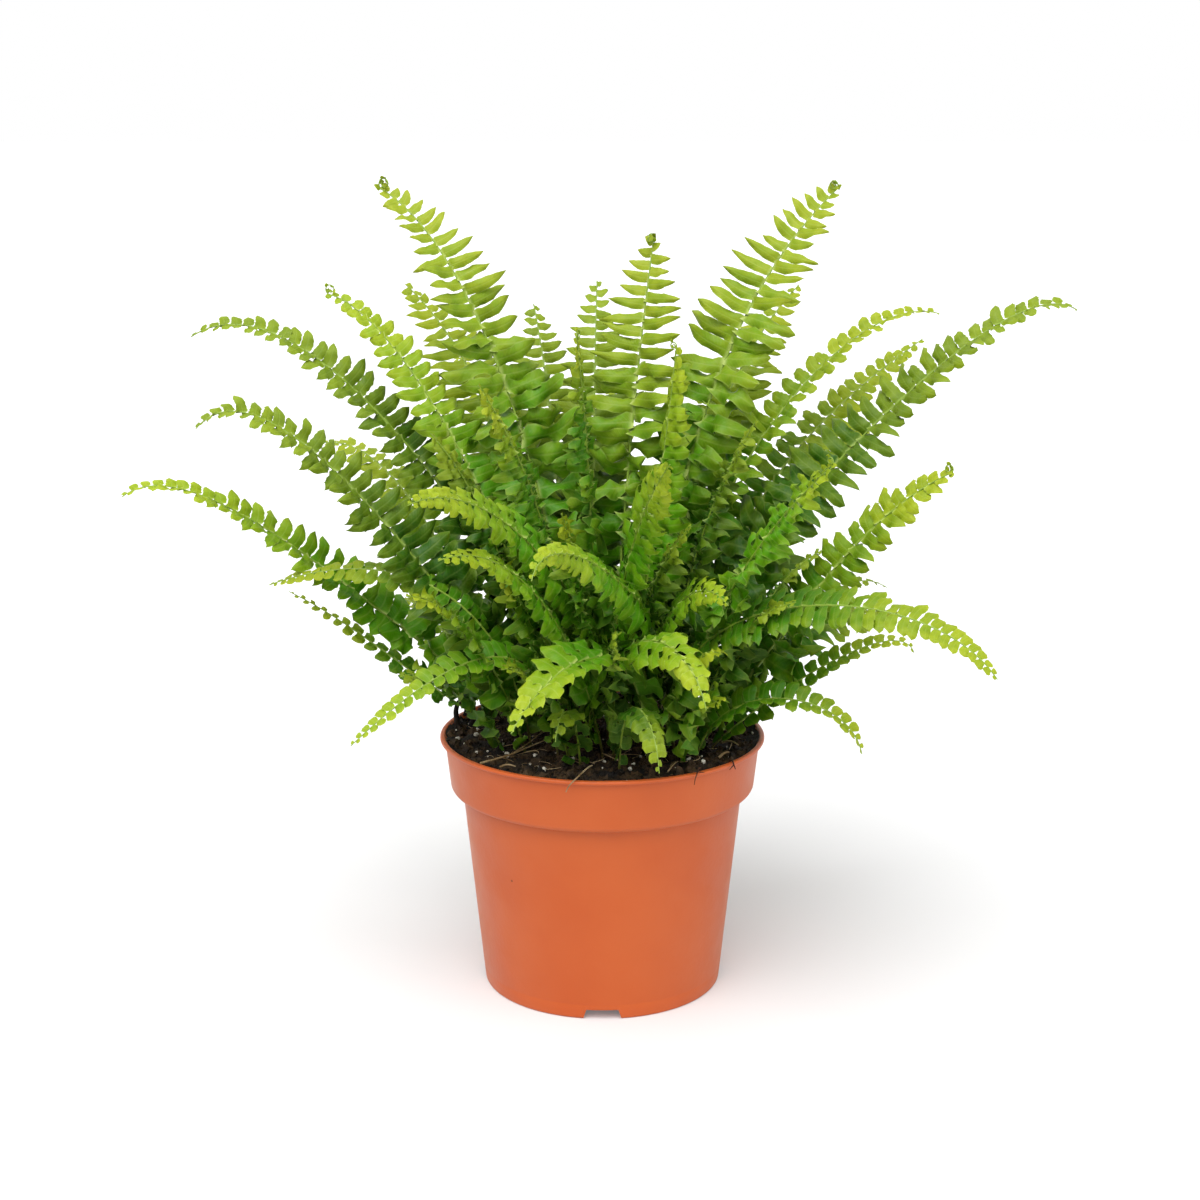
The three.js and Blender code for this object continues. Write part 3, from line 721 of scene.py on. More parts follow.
seed = given["Seed"]
place = result(strew, "GeometryNodeInputPosition")
from_middle = vectors(strew, "LENGTH", vectors(strew, "MULTIPLY", place, (1, 1, 0)))
inside = result(strew, "FunctionNodeCompare", {0: from_middle, 1: given["Reach"]}, operation="LESS_THAN")
up = result(strew, "ShaderNodeSeparateXYZ", {0: result(strew, "GeometryNodeInputNormal")}, "Z")
facing = result(strew, "FunctionNodeCompare", {0: up, 1: UPWARD}, operation="GREATER_THAN")
chosen = result(strew, "FunctionNodeBooleanMath", {0: inside, 1: facing}, operation="AND")
spots = result(strew, "GeometryNodeDistributePointsOnFaces", {
    "Mesh": given["Ground"], "Selection": chosen, "Density": given["Density"], "Seed": seed})
size = chance(strew, 0.0, 1.0, seed + 1) ** given["Evenness"]
size = span(strew, size, 0, 1, given["Smallest"], given["Largest"], smooth=False)
tilts = [chance(strew, given["Tilt"] * -1, given["Tilt"], seed + k) for k in (2, 3)]
spin = chance(strew, 0.0, 2 * math.pi, seed + 4)
turn = result(strew, "ShaderNodeCombineXYZ", {0: tilts[0], 1: tilts[1], 2: spin})
strewn = result(strew, "GeometryNodeInstanceOnPoints", {
    "Points": spots, "Instance": shapes_in(strew, given["Shapes"]), "Pick Instance": True,
    "Instance Index": pick_number(strew, 0, MOST_SHAPES, seed + 5), "Rotation": turn, "Scale": size})
drop = result(strew, "ShaderNodeCombineXYZ", {2: given["Sink"] * -1})
strewn = result(strew, "GeometryNodeSetPosition", {"Geometry": strewn, "Offset": drop})
strewn = result(strew, "GeometryNodeRealizeInstances", {"Geometry": strewn})
feed(strew, gives["Geometry"], finish_with(strew, strewn, given["Finish"]))
print("strewing tree:", len(strew.nodes), "nodes")


# %% Running a tree
def run_tree(maker, tree, **values):
    """Put a tree on an object as a modifier, with its inputs set by their identifiers."""
    modifier = maker.modifiers.new(tree.name, "NODES")
    modifier.node_group = tree
    for item in tree.interface.items_tree:
        name = item.name.replace(" ", "_")
        if item.in_out == "INPUT" and name in values:
            modifier[item.identifier] = values[name]


# %% [markdown]
# ## Finishes of the soil
# Damp peat is nearly black in its hollows and brown where a crumb has dried, perlite is a dull
# white, and dead roots are straw coloured. All of them are rough, and each gets its drift of
# colour from the shared cloudy tone.


# %% Soil materials
def earthy(name, dark, pale, scale, roughness, depth):
    """A rough finish that drifts between two colours. Its relief is this deep, in millimetres."""
    material, tree, shader = new_material(name, Specular_IOR_Level=0.25, Roughness=roughness)
    drift = use_group(tree, cloudy, Scale=scale, Detail=5.0, Low=0.0, High=1.0)["Tone"]
    feed(tree, shader.inputs["Base Color"], blend_colours(tree, drift, dark, pale))
    emboss(tree, shader, use_group(tree, grain, Scale=1500.0, Lumps=0.8)["Height"], 0.6, depth * MM)
    return material


peat = earthy("damp peat", rgb(0x0B0907), rgb(0x291D14), 190.0, 0.8, 0.6)
dry_peat = earthy("dry crumbs", rgb(0x0E0B08), rgb(0x46341F), 150.0, 0.75, 0.5)
perlite = earthy("perlite", rgb(0xC9C1AE), rgb(0xEDE8DC), 600.0, 0.7, 0.2)
straw = earthy("dead roots", rgb(0x6E5430), rgb(0xC8B088), 90.0, 0.65, 0.1)
rust = earthy("brown bits", rgb(0x2E1A10), rgb(0x6E4226), 160.0, 0.7, 0.2)
print("soil finishes:", [material.name for material in (peat, dry_peat, perlite, straw, rust)])

# %% [markdown]
# The loose things are many and small, so a draw raised to a power keeps most of them near their
# smallest size, as in real potting soil. Crumbs reach almost to the rim, and the fibres lie
# nearly flat. An even draw would make the soil look like gravel.

# %% Strewn pieces
soil.data.materials.append(peat)
loose = []
for name, shapes, finish, values in [
    ("peat_crumbs", crumbs, dry_peat, dict(Density=230000.0, Smallest=0.0008, Largest=0.0046,
                                           Evenness=2.8, Reach=0.0556, Sink=0.0002, Seed=11)),
    ("perlite_grains", grains, perlite, dict(Density=9000.0, Smallest=0.0005, Largest=0.0019,
                                             Evenness=2.2, Reach=0.0565, Sink=-0.0009, Seed=23)),
    ("dead_roots", fibres, straw, dict(Density=15000.0, Smallest=0.003, Largest=0.013,
                                       Evenness=1.8, Reach=0.049, Sink=-0.0013, Tilt=0.3, Seed=37)),
]:
    maker = soil.copy()
    scene.collection.objects.link(maker)
    run_tree(maker, strew, Shapes=shapes, Finish=finish, **values)
    loose.append(plain_mesh(maker, name))
    print(name, len(loose[-1].data.polygons))

# %% [markdown]
# Some roots and bits are large enough to be known one by one: a forked root lying on the left, a
# thin one that hangs over the rim in front, a black one that stands up at the back, and brown
# bits that cling to the rim. Each is a curve through a few points with a round section that
# thins towards its end. Given point by point, they lie where the real ones do, which strewing
# can't promise.


# %% Roots and bits
def strands(name, finish, lines):
    """Roots or straws drawn through their points, each with its thickness, in millimetres."""
    path = bpy.data.curves.new(name, "CURVE")
    path.dimensions = "3D"
    path.bevel_depth = MM / 2
    path.bevel_resolution = 2
    path.resolution_u = 8
    path.use_fill_caps = True
    for thickness, points in lines:
        spline = path.splines.new("BEZIER")
        spline.bezier_points.add(len(points) - 1)
        for k, (knot, point) in enumerate(zip(spline.bezier_points, points)):
            knot.co = Vector(point) * MM
            knot.handle_left_type = knot.handle_right_type = "AUTO"
            knot.radius = thickness * (1 - 0.5 * k / (len(points) - 1))
    maker = bpy.data.objects.new(name, path)
    scene.collection.objects.link(maker)
    return plain_mesh(maker, name, finish)


loose.append(strands("pale_roots", straw, [
    (0.9, [(-43.4, -35.7, 94), (-38.2, -33.7, 94.9), (-33, -30.6, 95.6), (-26.1, -22.6, 96.2),
           (-19.8, -12.8, 96)]),
    (0.6, [(-31.5, -28, 95.6), (-26.2, -19.7, 97), (-21.8, -7.6, 97.5)]),
    (0.7, [(-3.7, -37.6, 93.8), (-5.2, -46, 95.6), (-7, -54.5, 96.6), (-9.2, -59.6, 96),
           (-11.4, -60.8, 94), (-12.6, -60.6, 91.6)]),
    (1.1, [(41.5, -31.4, 94.8), (43.5, -30.2, 96.1), (45.2, -28.6, 96)]),
    (0.9, [(43.7, -13.2, 94.8), (46.5, -15.5, 96.1), (49.2, -18.5, 95.6)]),
    (0.6, [(22.9, -46, 94.3), (25, -42, 95.6), (26.7, -37.7, 95.4)]),
    (0.7, [(7.5, -4, 93), (3.5, -6, 99), (0.4, -7, 104)]),
    (0.8, [(-36, -41, 94.4), (-33, -42.5, 95.7), (-30.5, -43, 95.2)]),
]))
loose.append(strands("brown_bits", rust, [
    (0.6, [(34.5, -44, 94.8), (33.4, -49, 96.3), (33, -51.2, 95.8), (32.2, -51.9, 93.4), (32, -50.6, 91)]),
    (0.5, [(30.6, -50.2, 95.6), (33, -51.4, 95.9), (35.4, -50.3, 95.3)]),
    (0.7, [(44.8, -36, 94.8), (45.8, -39, 96), (46.4, -39.6, 94.6), (47, -38.4, 92.8)]),
    (0.5, [(46.4, -39.5, 94.8), (44.8, -41.2, 93.4)]),
    (1.7, [(24.6, 16, 96.5), (34, 14, 98.6), (44, 15, 98.4)]),
    (1.4, [(34, 10, 98), (35.4, 5, 96.8), (35, 2, 94)]),
]))
loose.append(strands("black_root", peat, [
    (2.4, [(-53.6, 10, 91.5), (-54.6, 9.6, 97), (-54.6, 9.2, 101.5), (-53, 9, 104), (-51.2, 9.4, 101.6),
           (-51.6, 9.8, 98.4)]),
    (2.2, [(-50, 12, 92.5), (-48.6, 12, 97), (-50.2, 11, 100)]),
]))
for piece in [soil, *loose]:
    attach(piece, "root")
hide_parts("soil")
print("soil pieces:", [piece.name for piece in [soil, *loose]])

# %% [markdown]
# ## Where each frond goes
# A fern is read by the sweep of its ribs, so each rib is placed on purpose, and only its
# leaflets are left to chance. One row gives a frond's foot on the soil, its tip, the angle at
# which it leaves and arrives, how its face is turned, and its longest leaflet. A cubic curve
# through those values is smoother than points placed by hand, and a rib that would run into an
# earlier one bows aside, as real ones do when they push past each other.

# %% The fronds
# name, foot (x, y), tip (x, y, z), degrees from upright at the foot, degrees above level at the
# tip, roll of the face to its left, further roll by the tip, fold of the leaflets, longest
# leaflet, share of the blade over which leaflets shorten towards the tip, age, height of arch
FRONDS = [
    # tall fronds on the left
    ("tall_left", (-12, 14), (-82, 45, 291), -1, 26, 42, 0, 24, 23, 0.42, "young", 0.75),
    ("left_coiled", (-20, 6), (-100, 25, 254), -4, 12, 50, 0, 6, 14, 0.5, "young", 0.6),
    ("left_behind", (-16, 26), (-76, 70, 254), 8, 34, 30, 0, -6, 21, 0.4, "grown", 1),
    ("left_upper", (-4, 8), (-150, 20, 239), 27, -33, 62, -40, 30, 19, 0.9, "old", 0.83),
    ("left_middle", (-16, -8), (-141, -25, 212), 38, -48, 62, -40, 30, 19, 0.75, "old", 0.81),
    ("left_long", (-26, 18), (-169, -20, 187), 59, -37, 62, -45, 30, 15, 0.9, "young", 0.7),
    # tall fronds in the middle and on the right
    ("middle_tall", (4, 16), (19, 40, 273), 4, 76, -6, 0, 24, 24, 0.3, "young", 1),
    ("middle_behind", (-4, 30), (-2, 75, 255), 10, 54, 0, 0, -4, 19, 0.4, "old", 1),
    ("middle_left_behind", (-12, 36), (-27, 85, 245), 10, 52, 0, 0, -4, 22, 0.4, "old", 1),
    ("tall_right", (14, 14), (87, 45, 291), 8, 40, -41, 0, 26, 21.5, 0.3, "young", 1),
    ("tall_right_behind", (18, 28), (77, 80, 253), 10, 34, -30, 0, -4, 19, 0.4, "grown", 1),
    ("right_upper", (22, 12), (125, 35, 246), -4, -16, -30, 0, 30, 13, 0.7, "grown", 0.8),
    ("right_long", (10, 8), (167, -5, 251), 27, -35, -60, 40, 22, 18, 0.6, "old", 0.54),
    ("right_behind", (30, 18), (123, 60, 234), 11, 30, -40, 0, 4, 13, 0.5, "grown", 1.13),
    ("right_middle", (38, -6), (119, -40, 199), 34, 27, -58, 0, 14, 18, 0.6, "grown", 0.86),
    # fronds that lean towards the viewer
    ("right_front", (26, -8), (75, -70, 207), 18, 40, -62, -5, 0, 14, 0.5, "young", 1),
    ("front_left_arch", (6, 3), (-61, -100, 199), 13, -10, 64, -5, 6, 13, 0.5, "young", 0.86),
    ("front_middle_arch", (33, 1), (-22, -115, 178), -7, -65, 66, 0, -10, 12, 0.5, "young", 0.63),
    ("front_young", (2, -8), (21, -100, 212), 8, 26, -86, -30, 0, 13, 0.4, "young", 1),
    ("centre_left", (-10, -6), (-42, -40, 229), 4, 50, 60, 5, -6, 15, 0.4, "grown", 1),
    ("centre_coiled", (-2, 2), (-9, -20, 243), 3, 70, 82, 10, -6, 14, 0.4, "grown", 1),
    ("centre_right", (12, 0), (26, -10, 239), 3, 84, -52, -5, -6, 15, 0.4, "young", 1),
    # low fronds over the rim
    ("right_low_arch", (26, -16), (130, -80, 137), -10, -54, -28, 0, 6, 15, 0.6, "grown", 1.16),
    ("right_low_thin", (40, -16), (110, -30, 133), 42, -70, -40, 0, 20, 10, 1, "grown", 0.72),
    ("right_lowest", (34, -26), (90, -50, 102), 15, -78, -30, 0, 30, 11, 1, "grown", 1.28),
    ("left_low_arch", (-16, -26), (-86, -60, 108), 4, -38, 22, 0, 16, 12, 0.9, "young", 1.8),
    ("left_low_thin", (-40, 8), (-116, 10, 146), 58, 26, 50, 0, 0, 7, 1, "grown", 1),
    ("left_low_edge", (-26, -14), (-120, -10, 153), 8, -22, 30, 0, 0, 12, 0.8, "grown", 1.4),
    ("front_left_small", (0, -24), (-53, -85, 178), 14, -8, 60, -25, 0, 11, 0.5, "young", 1),
    ("front_low_broad", (16, -30), (-30, -85, 120), 0, -48, 10, 0, 28, 13, 0.4, "young", 1.6),
    ("front_low_dark", (-8, -34), (-16, -65, 111), 10, -64, 0, 0, -8, 9, 0.5, "old", 1.5),
    ("front_hanging", (6, -38), (19, -75, 103), 4, -80, 0, 0, -8, 9, 0.4, "old", 2),
    ("front_right_bright", (-6, -18), (34, -85, 128), 8, -66, -26, 0, -8, 13, 0.4, "young", 1.4),
    ("front_right_small", (12, -8), (41, -80, 162), 10, -20, -66, 5, 0, 11, 0.5, "young", 1),
    ("right_inner", (34, -8), (78, -20, 168), 30, 30, -16, 0, 0, 11, 0.5, "old", 1),
    ("right_thin", (40, 6), (108, 30, 143), 42, -34, -30, 0, 0, 8, 0.8, "old", 1),
    # short fronds inside the clump
    ("inner_left", (-28, -20), (-66, -58, 160), 20, 10, 46, -25, 0, 12, 0.5, "grown", 1),
    ("inner_left_low", (-36, -18), (-70, -44, 128), 34, -10, 30, 0, 0, 11, 0.5, "old", 1),
    ("inner_front_left", (-18, -14), (-36, -66, 172), 14, 24, 76, 0, 0, 12, 0.4, "grown", 1),
    ("inner_front", (4, -26), (4, -74, 146), 18, 10, -84, -20, 0, 11, 0.4, "old", 1),
    ("inner_front_right", (20, -28), (40, -66, 142), 24, 0, -48, 35, 0, 11, 0.4, "grown", 1),
    ("inner_right", (32, -16), (66, -50, 156), 24, 16, -46, 20, 0, 12, 0.5, "old", 1),
    ("inner_centre_left", (-24, 12), (-62, 4, 206), 10, 50, 40, 0, 0, 13, 0.4, "old", 1),
    ("inner_centre_right", (22, 2), (54, -18, 214), 8, 56, -38, 0, 0, 13, 0.4, "old", 1),
    ("inner_middle", (-4, -14), (-14, -46, 186), 10, 44, 80, 10, 0, 12, 0.4, "grown", 1),
    ("inner_middle_right", (10, -12), (30, -48, 182), 12, 40, -68, 0, 0, 12, 0.4, "old", 1),
    ("inner_low_left", (-12, -32), (-34, -64, 136), 16, 4, 50, -25, 0, 11, 0.5, "old", 1),
    ("inner_low_right", (28, -34), (40, -66, 124), 14, -10, -64, 40, 0, 10, 0.5, "grown", 1),
    # fronds on the far side
    ("back_left", (-26, 30), (-112, 84, 190), 40, -10, 30, 0, 0, 15, 0.6, "grown", 1),
    ("back_left_low", (-38, 22), (-84, 66, 127), 50, -42, 20, 0, -6, 14, 0.6, "grown", 1),
    ("back_left_tall", (-20, 40), (-60, 112, 222), 24, 14, 10, 0, 0, 15, 0.6, "grown", 1),
    ("back_middle", (2, 42), (6, 115, 210), 26, 6, 0, 0, 0, 15, 0.6, "grown", 1),
    ("back_middle_low", (-8, 46), (-22, 113, 126), 40, -52, 0, 0, -8, 14, 0.6, "young", 1),
    ("back_right_tall", (16, 42), (58, 108, 226), 22, 16, -10, 0, 0, 15, 0.6, "grown", 1),
    ("back_right", (30, 32), (112, 88, 196), 40, -8, -30, 0, 0, 15, 0.6, "grown", 1),
    ("back_right_low", (40, 22), (124, 62, 120), 46, -44, -20, 0, -6, 14, 0.6, "grown", 1),
    ("back_low", (24, 44), (58, 104, 118), 42, -54, 0, 0, -6, 13, 0.6, "old", 1),
    ("back_low_left", (-30, 40), (-72, 98, 112), 44, -54, 0, 0, -6, 13, 0.6, "old", 1),
]
print("rows:", len(FRONDS), "from", FRONDS[0][0], "to", FRONDS[-1][0])

# %% Rib curves
FOOT_HANDLE, TIP_HANDLE = 0.42, 0.3
STALK_RISE = 1.5
BOW_STEPS = (0, 4, -4, 8, -8, 12, -12, 16, -16)
RIB_CLEARANCE = 3.5
RIB_SAMPLES, RIB_POINTS = 30, 60
UP = Vector((0, 0, 1))


def leaned(start, towards, degrees):
    """The vector that leans by an angle from one direction to another at right angles to it."""
    return start * math.cos(math.radians(degrees)) + towards * math.sin(math.radians(degrees))


def rib_curve(row, bow, samples):
    """Points along a frond's rib, in millimetres, and the level direction to its side."""
    _, foot, tip, leave, arrive, *_, arch = row
    start, end = Vector((*foot, SOIL_TOP + STALK_RISE)), Vector(tip)
    heading = Vector((end.x - start.x, end.y - start.y, 0)).normalized()
    side = Vector((-heading.y, heading.x, 0))
    chord = (end - start).length * arch
    first = start + leaned(UP, heading, leave) * (chord * FOOT_HANDLE) + side * bow
    last = end - leaned(heading, UP, arrive) * (chord * TIP_HANDLE) + side * bow
    points = []
    for k in range(samples + 1):
        t = k / samples
        rest = 1 - t
        points.append(start * rest ** 3 + first * (3 * t * rest ** 2)
                      + last * (3 * t * t * rest) + end * t ** 3)
    return points, side


def lay_ribs():
    """The bow of every rib, by the name of its frond."""
    laid, bows = [], {}
    for row in FRONDS:
        best = None
        for bow in BOW_STEPS:
            samples = np.array([tuple(p) for p in rib_curve(row, bow, RIB_SAMPLES)[0]])
            gaps = [np.linalg.norm(samples[:, None] - other[None], axis=2).min() for other in laid]
            nearest = min(gaps, default=math.inf)
            if best is None or nearest > best[0]:
                best = nearest, bow, samples
            if nearest > RIB_CLEARANCE:
                break
        bows[row[0]] = best[1]
        laid.append(best[2])
    return bows


bows = lay_ribs()
print("fronds:", len(FRONDS), "bowed aside:", sum(1 for bow in bows.values() if bow))

# %% [markdown]
# The tips of the youngest fronds are still coiled. Such a crozier is a short spiral, rolled
# towards the face of the frond, and it is added to the end of the rib before anything grows on
# it, so that the same tree makes its furled leaflets.

# %% Coiled tips
COIL_RADIUS = {"tall_left": 2.4, "left_coiled": 2.0, "middle_tall": 2.1, "tall_right": 2.0,
               "centre_coiled": 2.3, "right_middle": 1.7, "right_front": 1.5, "centre_right": 1.4}
COIL_TURNS, COIL_STEPS, COIL_TIGHTENING = 1.3, 20, 0.62
COIL_LENGTH = 2 * math.pi * COIL_TURNS * (1 - COIL_TIGHTENING / 2)  # for a radius of one
STALK_DEPTH = 4


def rib_points(row):
    """The whole rib of a frond, from under the soil to the end of its coil, and its side."""
    points, side = rib_curve(row, bows[row[0]], RIB_POINTS)
    coil = COIL_RADIUS.get(row[0])
    if coil:
        along = (points[-1] - points[-2]).normalized()
        inward = along.cross(side).normalized()
        middle = points[-1]
        for k in range(1, COIL_STEPS + 1):
            wound = k / COIL_STEPS
            angle = 2 * math.pi * COIL_TURNS * wound
            step = 2 * math.pi * COIL_TURNS * coil * (1 - COIL_TIGHTENING * wound) / COIL_STEPS
            middle = middle + (along * math.cos(angle) + inward * math.sin(angle)) * step
            points.append(middle)
    return [points[0] - UP * STALK_DEPTH, *points], side


print("coiled tips:", ", ".join(COIL_RADIUS))

# %% [markdown]
# ## Leaflets
# A leaflet is a thin, slightly curved blade, often with a small ear on the side nearest the
# frond's tip and with shallow teeth. No two are alike. The tall fronds have pointed ones, the
# arching ones blunt ones, those deep in the clump are crinkled, those of the low front fronds
# are broad lobes, and the low arching fronds have ovals. Sixteen forms for each hand are enough
# for a viewer not to see them repeat, because chance also turns and sizes every one. The blade
# is a lens in section, so that it is closed and has a crisp edge. A flat sheet would be
# lighter, but would show no edge and no thickness where it turns away.

# %% Leaflet forms
FORM_SEED = 19
STATIONS = 9
ACROSS = (0.0, 0.22, 0.5, 0.78, 1.0)
BLADE_THICKNESS = 0.018  # of its length
ROOTED = 0.02  # share of it that is sunk in the rib
EAR_AT, EAR_WIDTH = 0.12, 0.09
WAVES_FEWEST, WAVES_MOST = 1.3, 2.2
CURL_FROM = 0.6
# droop, waves of the edge, curl of the tip, hollow, teeth, widest at, bluntness, ear, bend,
# breadth of the neck, power of the tip's outline: 1 is pointed and 0.5 is round
POINTED = [
    (0.06, 0.030, 0.04, 0.06, 0.03, 0.30, 1.9, 0.18, 0.24, 0.76, 0.9),
    (0.14, 0.045, 0.12, 0.08, 0.04, 0.26, 1.8, 0.22, 0.00, 0.74, 0.9),
    (0.02, 0.050, 0.22, 0.05, 0.04, 0.34, 2.0, 0.14, 0.36, 0.76, 0.8),
    (0.20, 0.055, 0.10, 0.08, 0.05, 0.30, 1.8, 0.20, -0.16, 0.74, 0.8),
]
BLUNT = [
    (0.10, 0.055, 0.06, 0.06, 0.04, 0.30, 2.8, 0.16, 0.26, 0.96, 0.6),
    (0.18, 0.075, 0.18, 0.08, 0.06, 0.26, 3.0, 0.18, 0.10, 0.98, 0.6),
    (0.04, 0.085, 0.34, 0.05, 0.06, 0.34, 2.4, 0.16, 0.34, 0.94, 0.7),
    (0.24, 0.070, 0.14, 0.09, 0.09, 0.30, 2.6, 0.18, 0.00, 0.96, 0.6),
]
CRINKLED = [
    (0.14, 0.130, 0.25, 0.10, 0.04, 0.50, 2.6, 0.22, 0.34, 0.76, 0.5),
    (-0.14, 0.160, 0.40, 0.12, 0.05, 0.54, 2.8, 0.22, -0.28, 0.74, 0.5),
    (0.30, 0.180, 0.55, 0.08, 0.06, 0.56, 2.4, 0.26, 0.20, 0.72, 0.6),
    (0.02, 0.150, -0.40, 0.14, 0.05, 0.50, 2.8, 0.22, -0.12, 0.74, 0.5),
]
LOBED = [
    (0.12, 0.080, 0.12, 0.12, 0.03, 0.52, 2.6, 0.04, 0.12, 0.96, 0.5),
    (0.24, 0.110, 0.22, 0.10, 0.04, 0.56, 3.0, 0.05, 0.02, 0.92, 0.5),
]
OVAL = [
    (0.10, 0.040, 0.05, 0.08, 0.03, 0.56, 2.8, 0.02, 0.14, 0.62, 0.5),
    (0.18, 0.050, 0.10, 0.07, 0.04, 0.60, 3.0, 0.04, 0.06, 0.66, 0.5),
]
FORMS = POINTED + BLUNT + CRINKLED + LOBED + OVAL
print("forms to draw:", len(FORMS))


# %% Leaflet blades
def half_breadth(u, tipward, teeth, widest, blunt, ear, neck, tip, station):
    """How far the blade reaches to one side of its midrib, for a blade one unit across."""
    fall = (1 - max(0.0, (u - widest) / (1 - widest)) ** blunt) ** tip
    neck += (1 - neck) * math.sin(math.pi / 2 * min(1.0, u / widest))
    tooth = 1 + teeth * (1 if station % 2 else -0.6)
    lobe = ear * math.exp(-((u - EAR_AT) / EAR_WIDTH) ** 2) if tipward else 0
    return max(0.02, 0.5 * (fall * neck * tooth + lobe))


def blade_points(hand, form, rng):
    """The blade's points, and where each stands in the rows of its upper and its under side."""
    droop, waves, curl, hollow, teeth, widest, blunt, ear, bend, neck, tip = form
    beat = rng.uniform(WAVES_FEWEST, WAVES_MOST)
    phases = rng.uniform(0, 2 * math.pi), rng.uniform(0, 2 * math.pi)
    upper, under, points = [], [], []
    for i in range(STATIONS + 1):
        u = i / STATIONS
        upper.append([])
        under.append([])
        for v in ACROSS:
            c = 2 * v - 1
            reach = half_breadth(u, c > 0, teeth, widest, blunt, ear, neck, tip, i)
            x = u * (1 - 0.3 * abs(droop) * u) - ROOTED
            y = -hand * (c * reach + bend * u * u - 0.1 * math.sin(math.pi * u))
            wave = waves * abs(c) ** 1.5 * math.sin(2 * math.pi * beat * u + phases[c > 0])
            z = wave - droop * u ** 1.8 - curl * max(0.0, u - CURL_FROM) ** 2 * 4
            z += hollow * (0.35 * (1 - abs(c)) * u - 2 * c * c * u * (1 - u))
            inside = 0 < i < STATIONS and abs(c) < 1
            half = BLADE_THICKNESS / 2 if inside else 0
            upper[-1].append(len(points))
            points.append((x, y, z + half))
            if inside:
                points.append((x, y, z - half))
            under[-1].append(len(points) - 1)
    return points, upper, under


def leaflet(name, hand, form, rng):
    """A closed blade from x = 0 to 1, facing +Z. hand is 1 to the left of the rib, -1 to the right."""
    points, upper, under = blade_points(hand, form, rng)
    faces, marks = [], []
    for side, rows in enumerate((upper, under)):
        for i in range(STATIONS):
            for j in range(len(ACROSS) - 1):
                cells = [(i, j), (i + 1, j), (i + 1, j + 1), (i, j + 1)]
                if (hand > 0) != (side == 1):
                    cells.reverse()
                faces.append([rows[a][b] for a, b in cells])
                marks += [(a / STATIONS, ACROSS[b] + side) for a, b in cells]
    mesh = bpy.data.meshes.new(name)
    mesh.from_pydata(points, [], faces)
    layer = mesh.uv_layers.new(name="blade")
    layer.data.foreach_set("uv", [value for mark in marks for value in mark])
    mesh.shade_smooth()
    sharp = mesh.attributes.new("sharp_edge", "BOOLEAN", "EDGE")
    edge_of = {tuple(sorted(edge.vertices)): edge.index for edge in mesh.edges}
    one_side, end = [row[0] for row in upper], upper[-1][1:]
    other_side, foot = [row[-1] for row in upper[-2::-1]], upper[0][-2:0:-1]
    outline = one_side + end + other_side + foot
    for a, b in zip(outline, outline[1:] + outline[:1]):
        sharp.data[edge_of[tuple(sorted((a, b)))]].value = True
    return bpy.data.objects.new(name, mesh)


form_draw = random.Random(FORM_SEED)
left_leaflets, right_leaflets = (
    hidden(f"{label} leaflets",
           [leaflet(f"{label}_{k}", hand, form, form_draw) for k, form in enumerate(FORMS)])
    for label, hand in (("left", 1), ("right", -1)))

# %% [markdown]
# ## The tree that grows a frond
# Leaflets stand in two rows along the rib, in turn to the left and right, closer together
# towards the tip. They are longest a third of the way up and shrink to almost nothing at the
# end, and they lean towards the tip. The lowest ones grow in the dark of the clump, so up to a
# point they are wild: shorter, broader, more crinkled and turned every way. All of this is a
# rule, so one Geometry Nodes tree grows every frond from its rib and a handful of named sizes.
# Modelling one frond and bending copies of it would stretch the leaflets and repeat their every
# crinkle.

# %% Frond tree
BARE_SHARE = 0.08
CROWDING = 0.3
LOWEST_LEAFLET, LONGEST_AT, TIP_LEAFLET, TIP_TAPER = 0.42, 0.3, 0.025, 0.66
SWEEP, TIP_SWEEP = math.radians(3), math.radians(16)
LEVELLING = 0.6
SHORTEST_DRAW, LONGEST_DRAW = 0.8, 1.12
BROADEST = 1.1  # breadth against length
TIP_RIB = 0.38  # radius against that of the foot
RIB_SIDES = 6
LEFT_FIRST, RIGHT_FIRST = 0.1, 0.6  # steps from the lowest place, so that they stand in turn
DRAWS_APART = 50  # between the seeds of the two rows
WILD_SHORTER, WILD_BROADER, WILD_UNREST = 0.12, 0.3, 2.2
WILD_UP_TO, TAME_FROM = 0.55, 1.0
FOLD_JITTER, SWEEP_JITTER, TWIST_JITTER = 0.15, 0.12, 0.25  # radians
FIRST_CRINKLED = len(POINTED + BLUNT)
LAST_CRINKLED = FIRST_CRINKLED + len(CRINKLED) - 1

frond, given, gives = new_group(
    "Fern frond", "GeometryNodeTree",
    [("Rib", "Geometry", None), ("Side", "Vector", (0, 1, 0)), ("Roll", "Float", 0.0),
     ("Tip roll", "Float", 0.0), ("Fold", "Float", 0.0), ("Pairs", "Int", 20),
     ("Longest", "Float", 0.014), ("Taper", "Float", 0.5), ("Coil", "Float", 0.02),
     ("Breadth", "Float", 1.0), ("First form", "Int", 0), ("Last form", "Int", 3),
     ("Unrest", "Float", 1.0), ("Crinkled up to", "Float", 0.4), ("Young from", "Float", 0.3),
     ("Rib radius", "Float", 0.0008), ("Left leaflets", "Collection", None),
     ("Right leaflets", "Collection", None), ("Seed", "Int", 1),
     ("Blade", "Material", None), ("Stalk", "Material", None)],
    [("Geometry", "Geometry", None)])
frond.is_modifier = True


def lean(tree, start, towards, angle):
    """The vector that leans by an angle from one direction to another."""
    return vectors(tree, "ADD", vectors(tree, "SCALE", start, angle.cosine()),
                   vectors(tree, "SCALE", towards, angle.sine()))


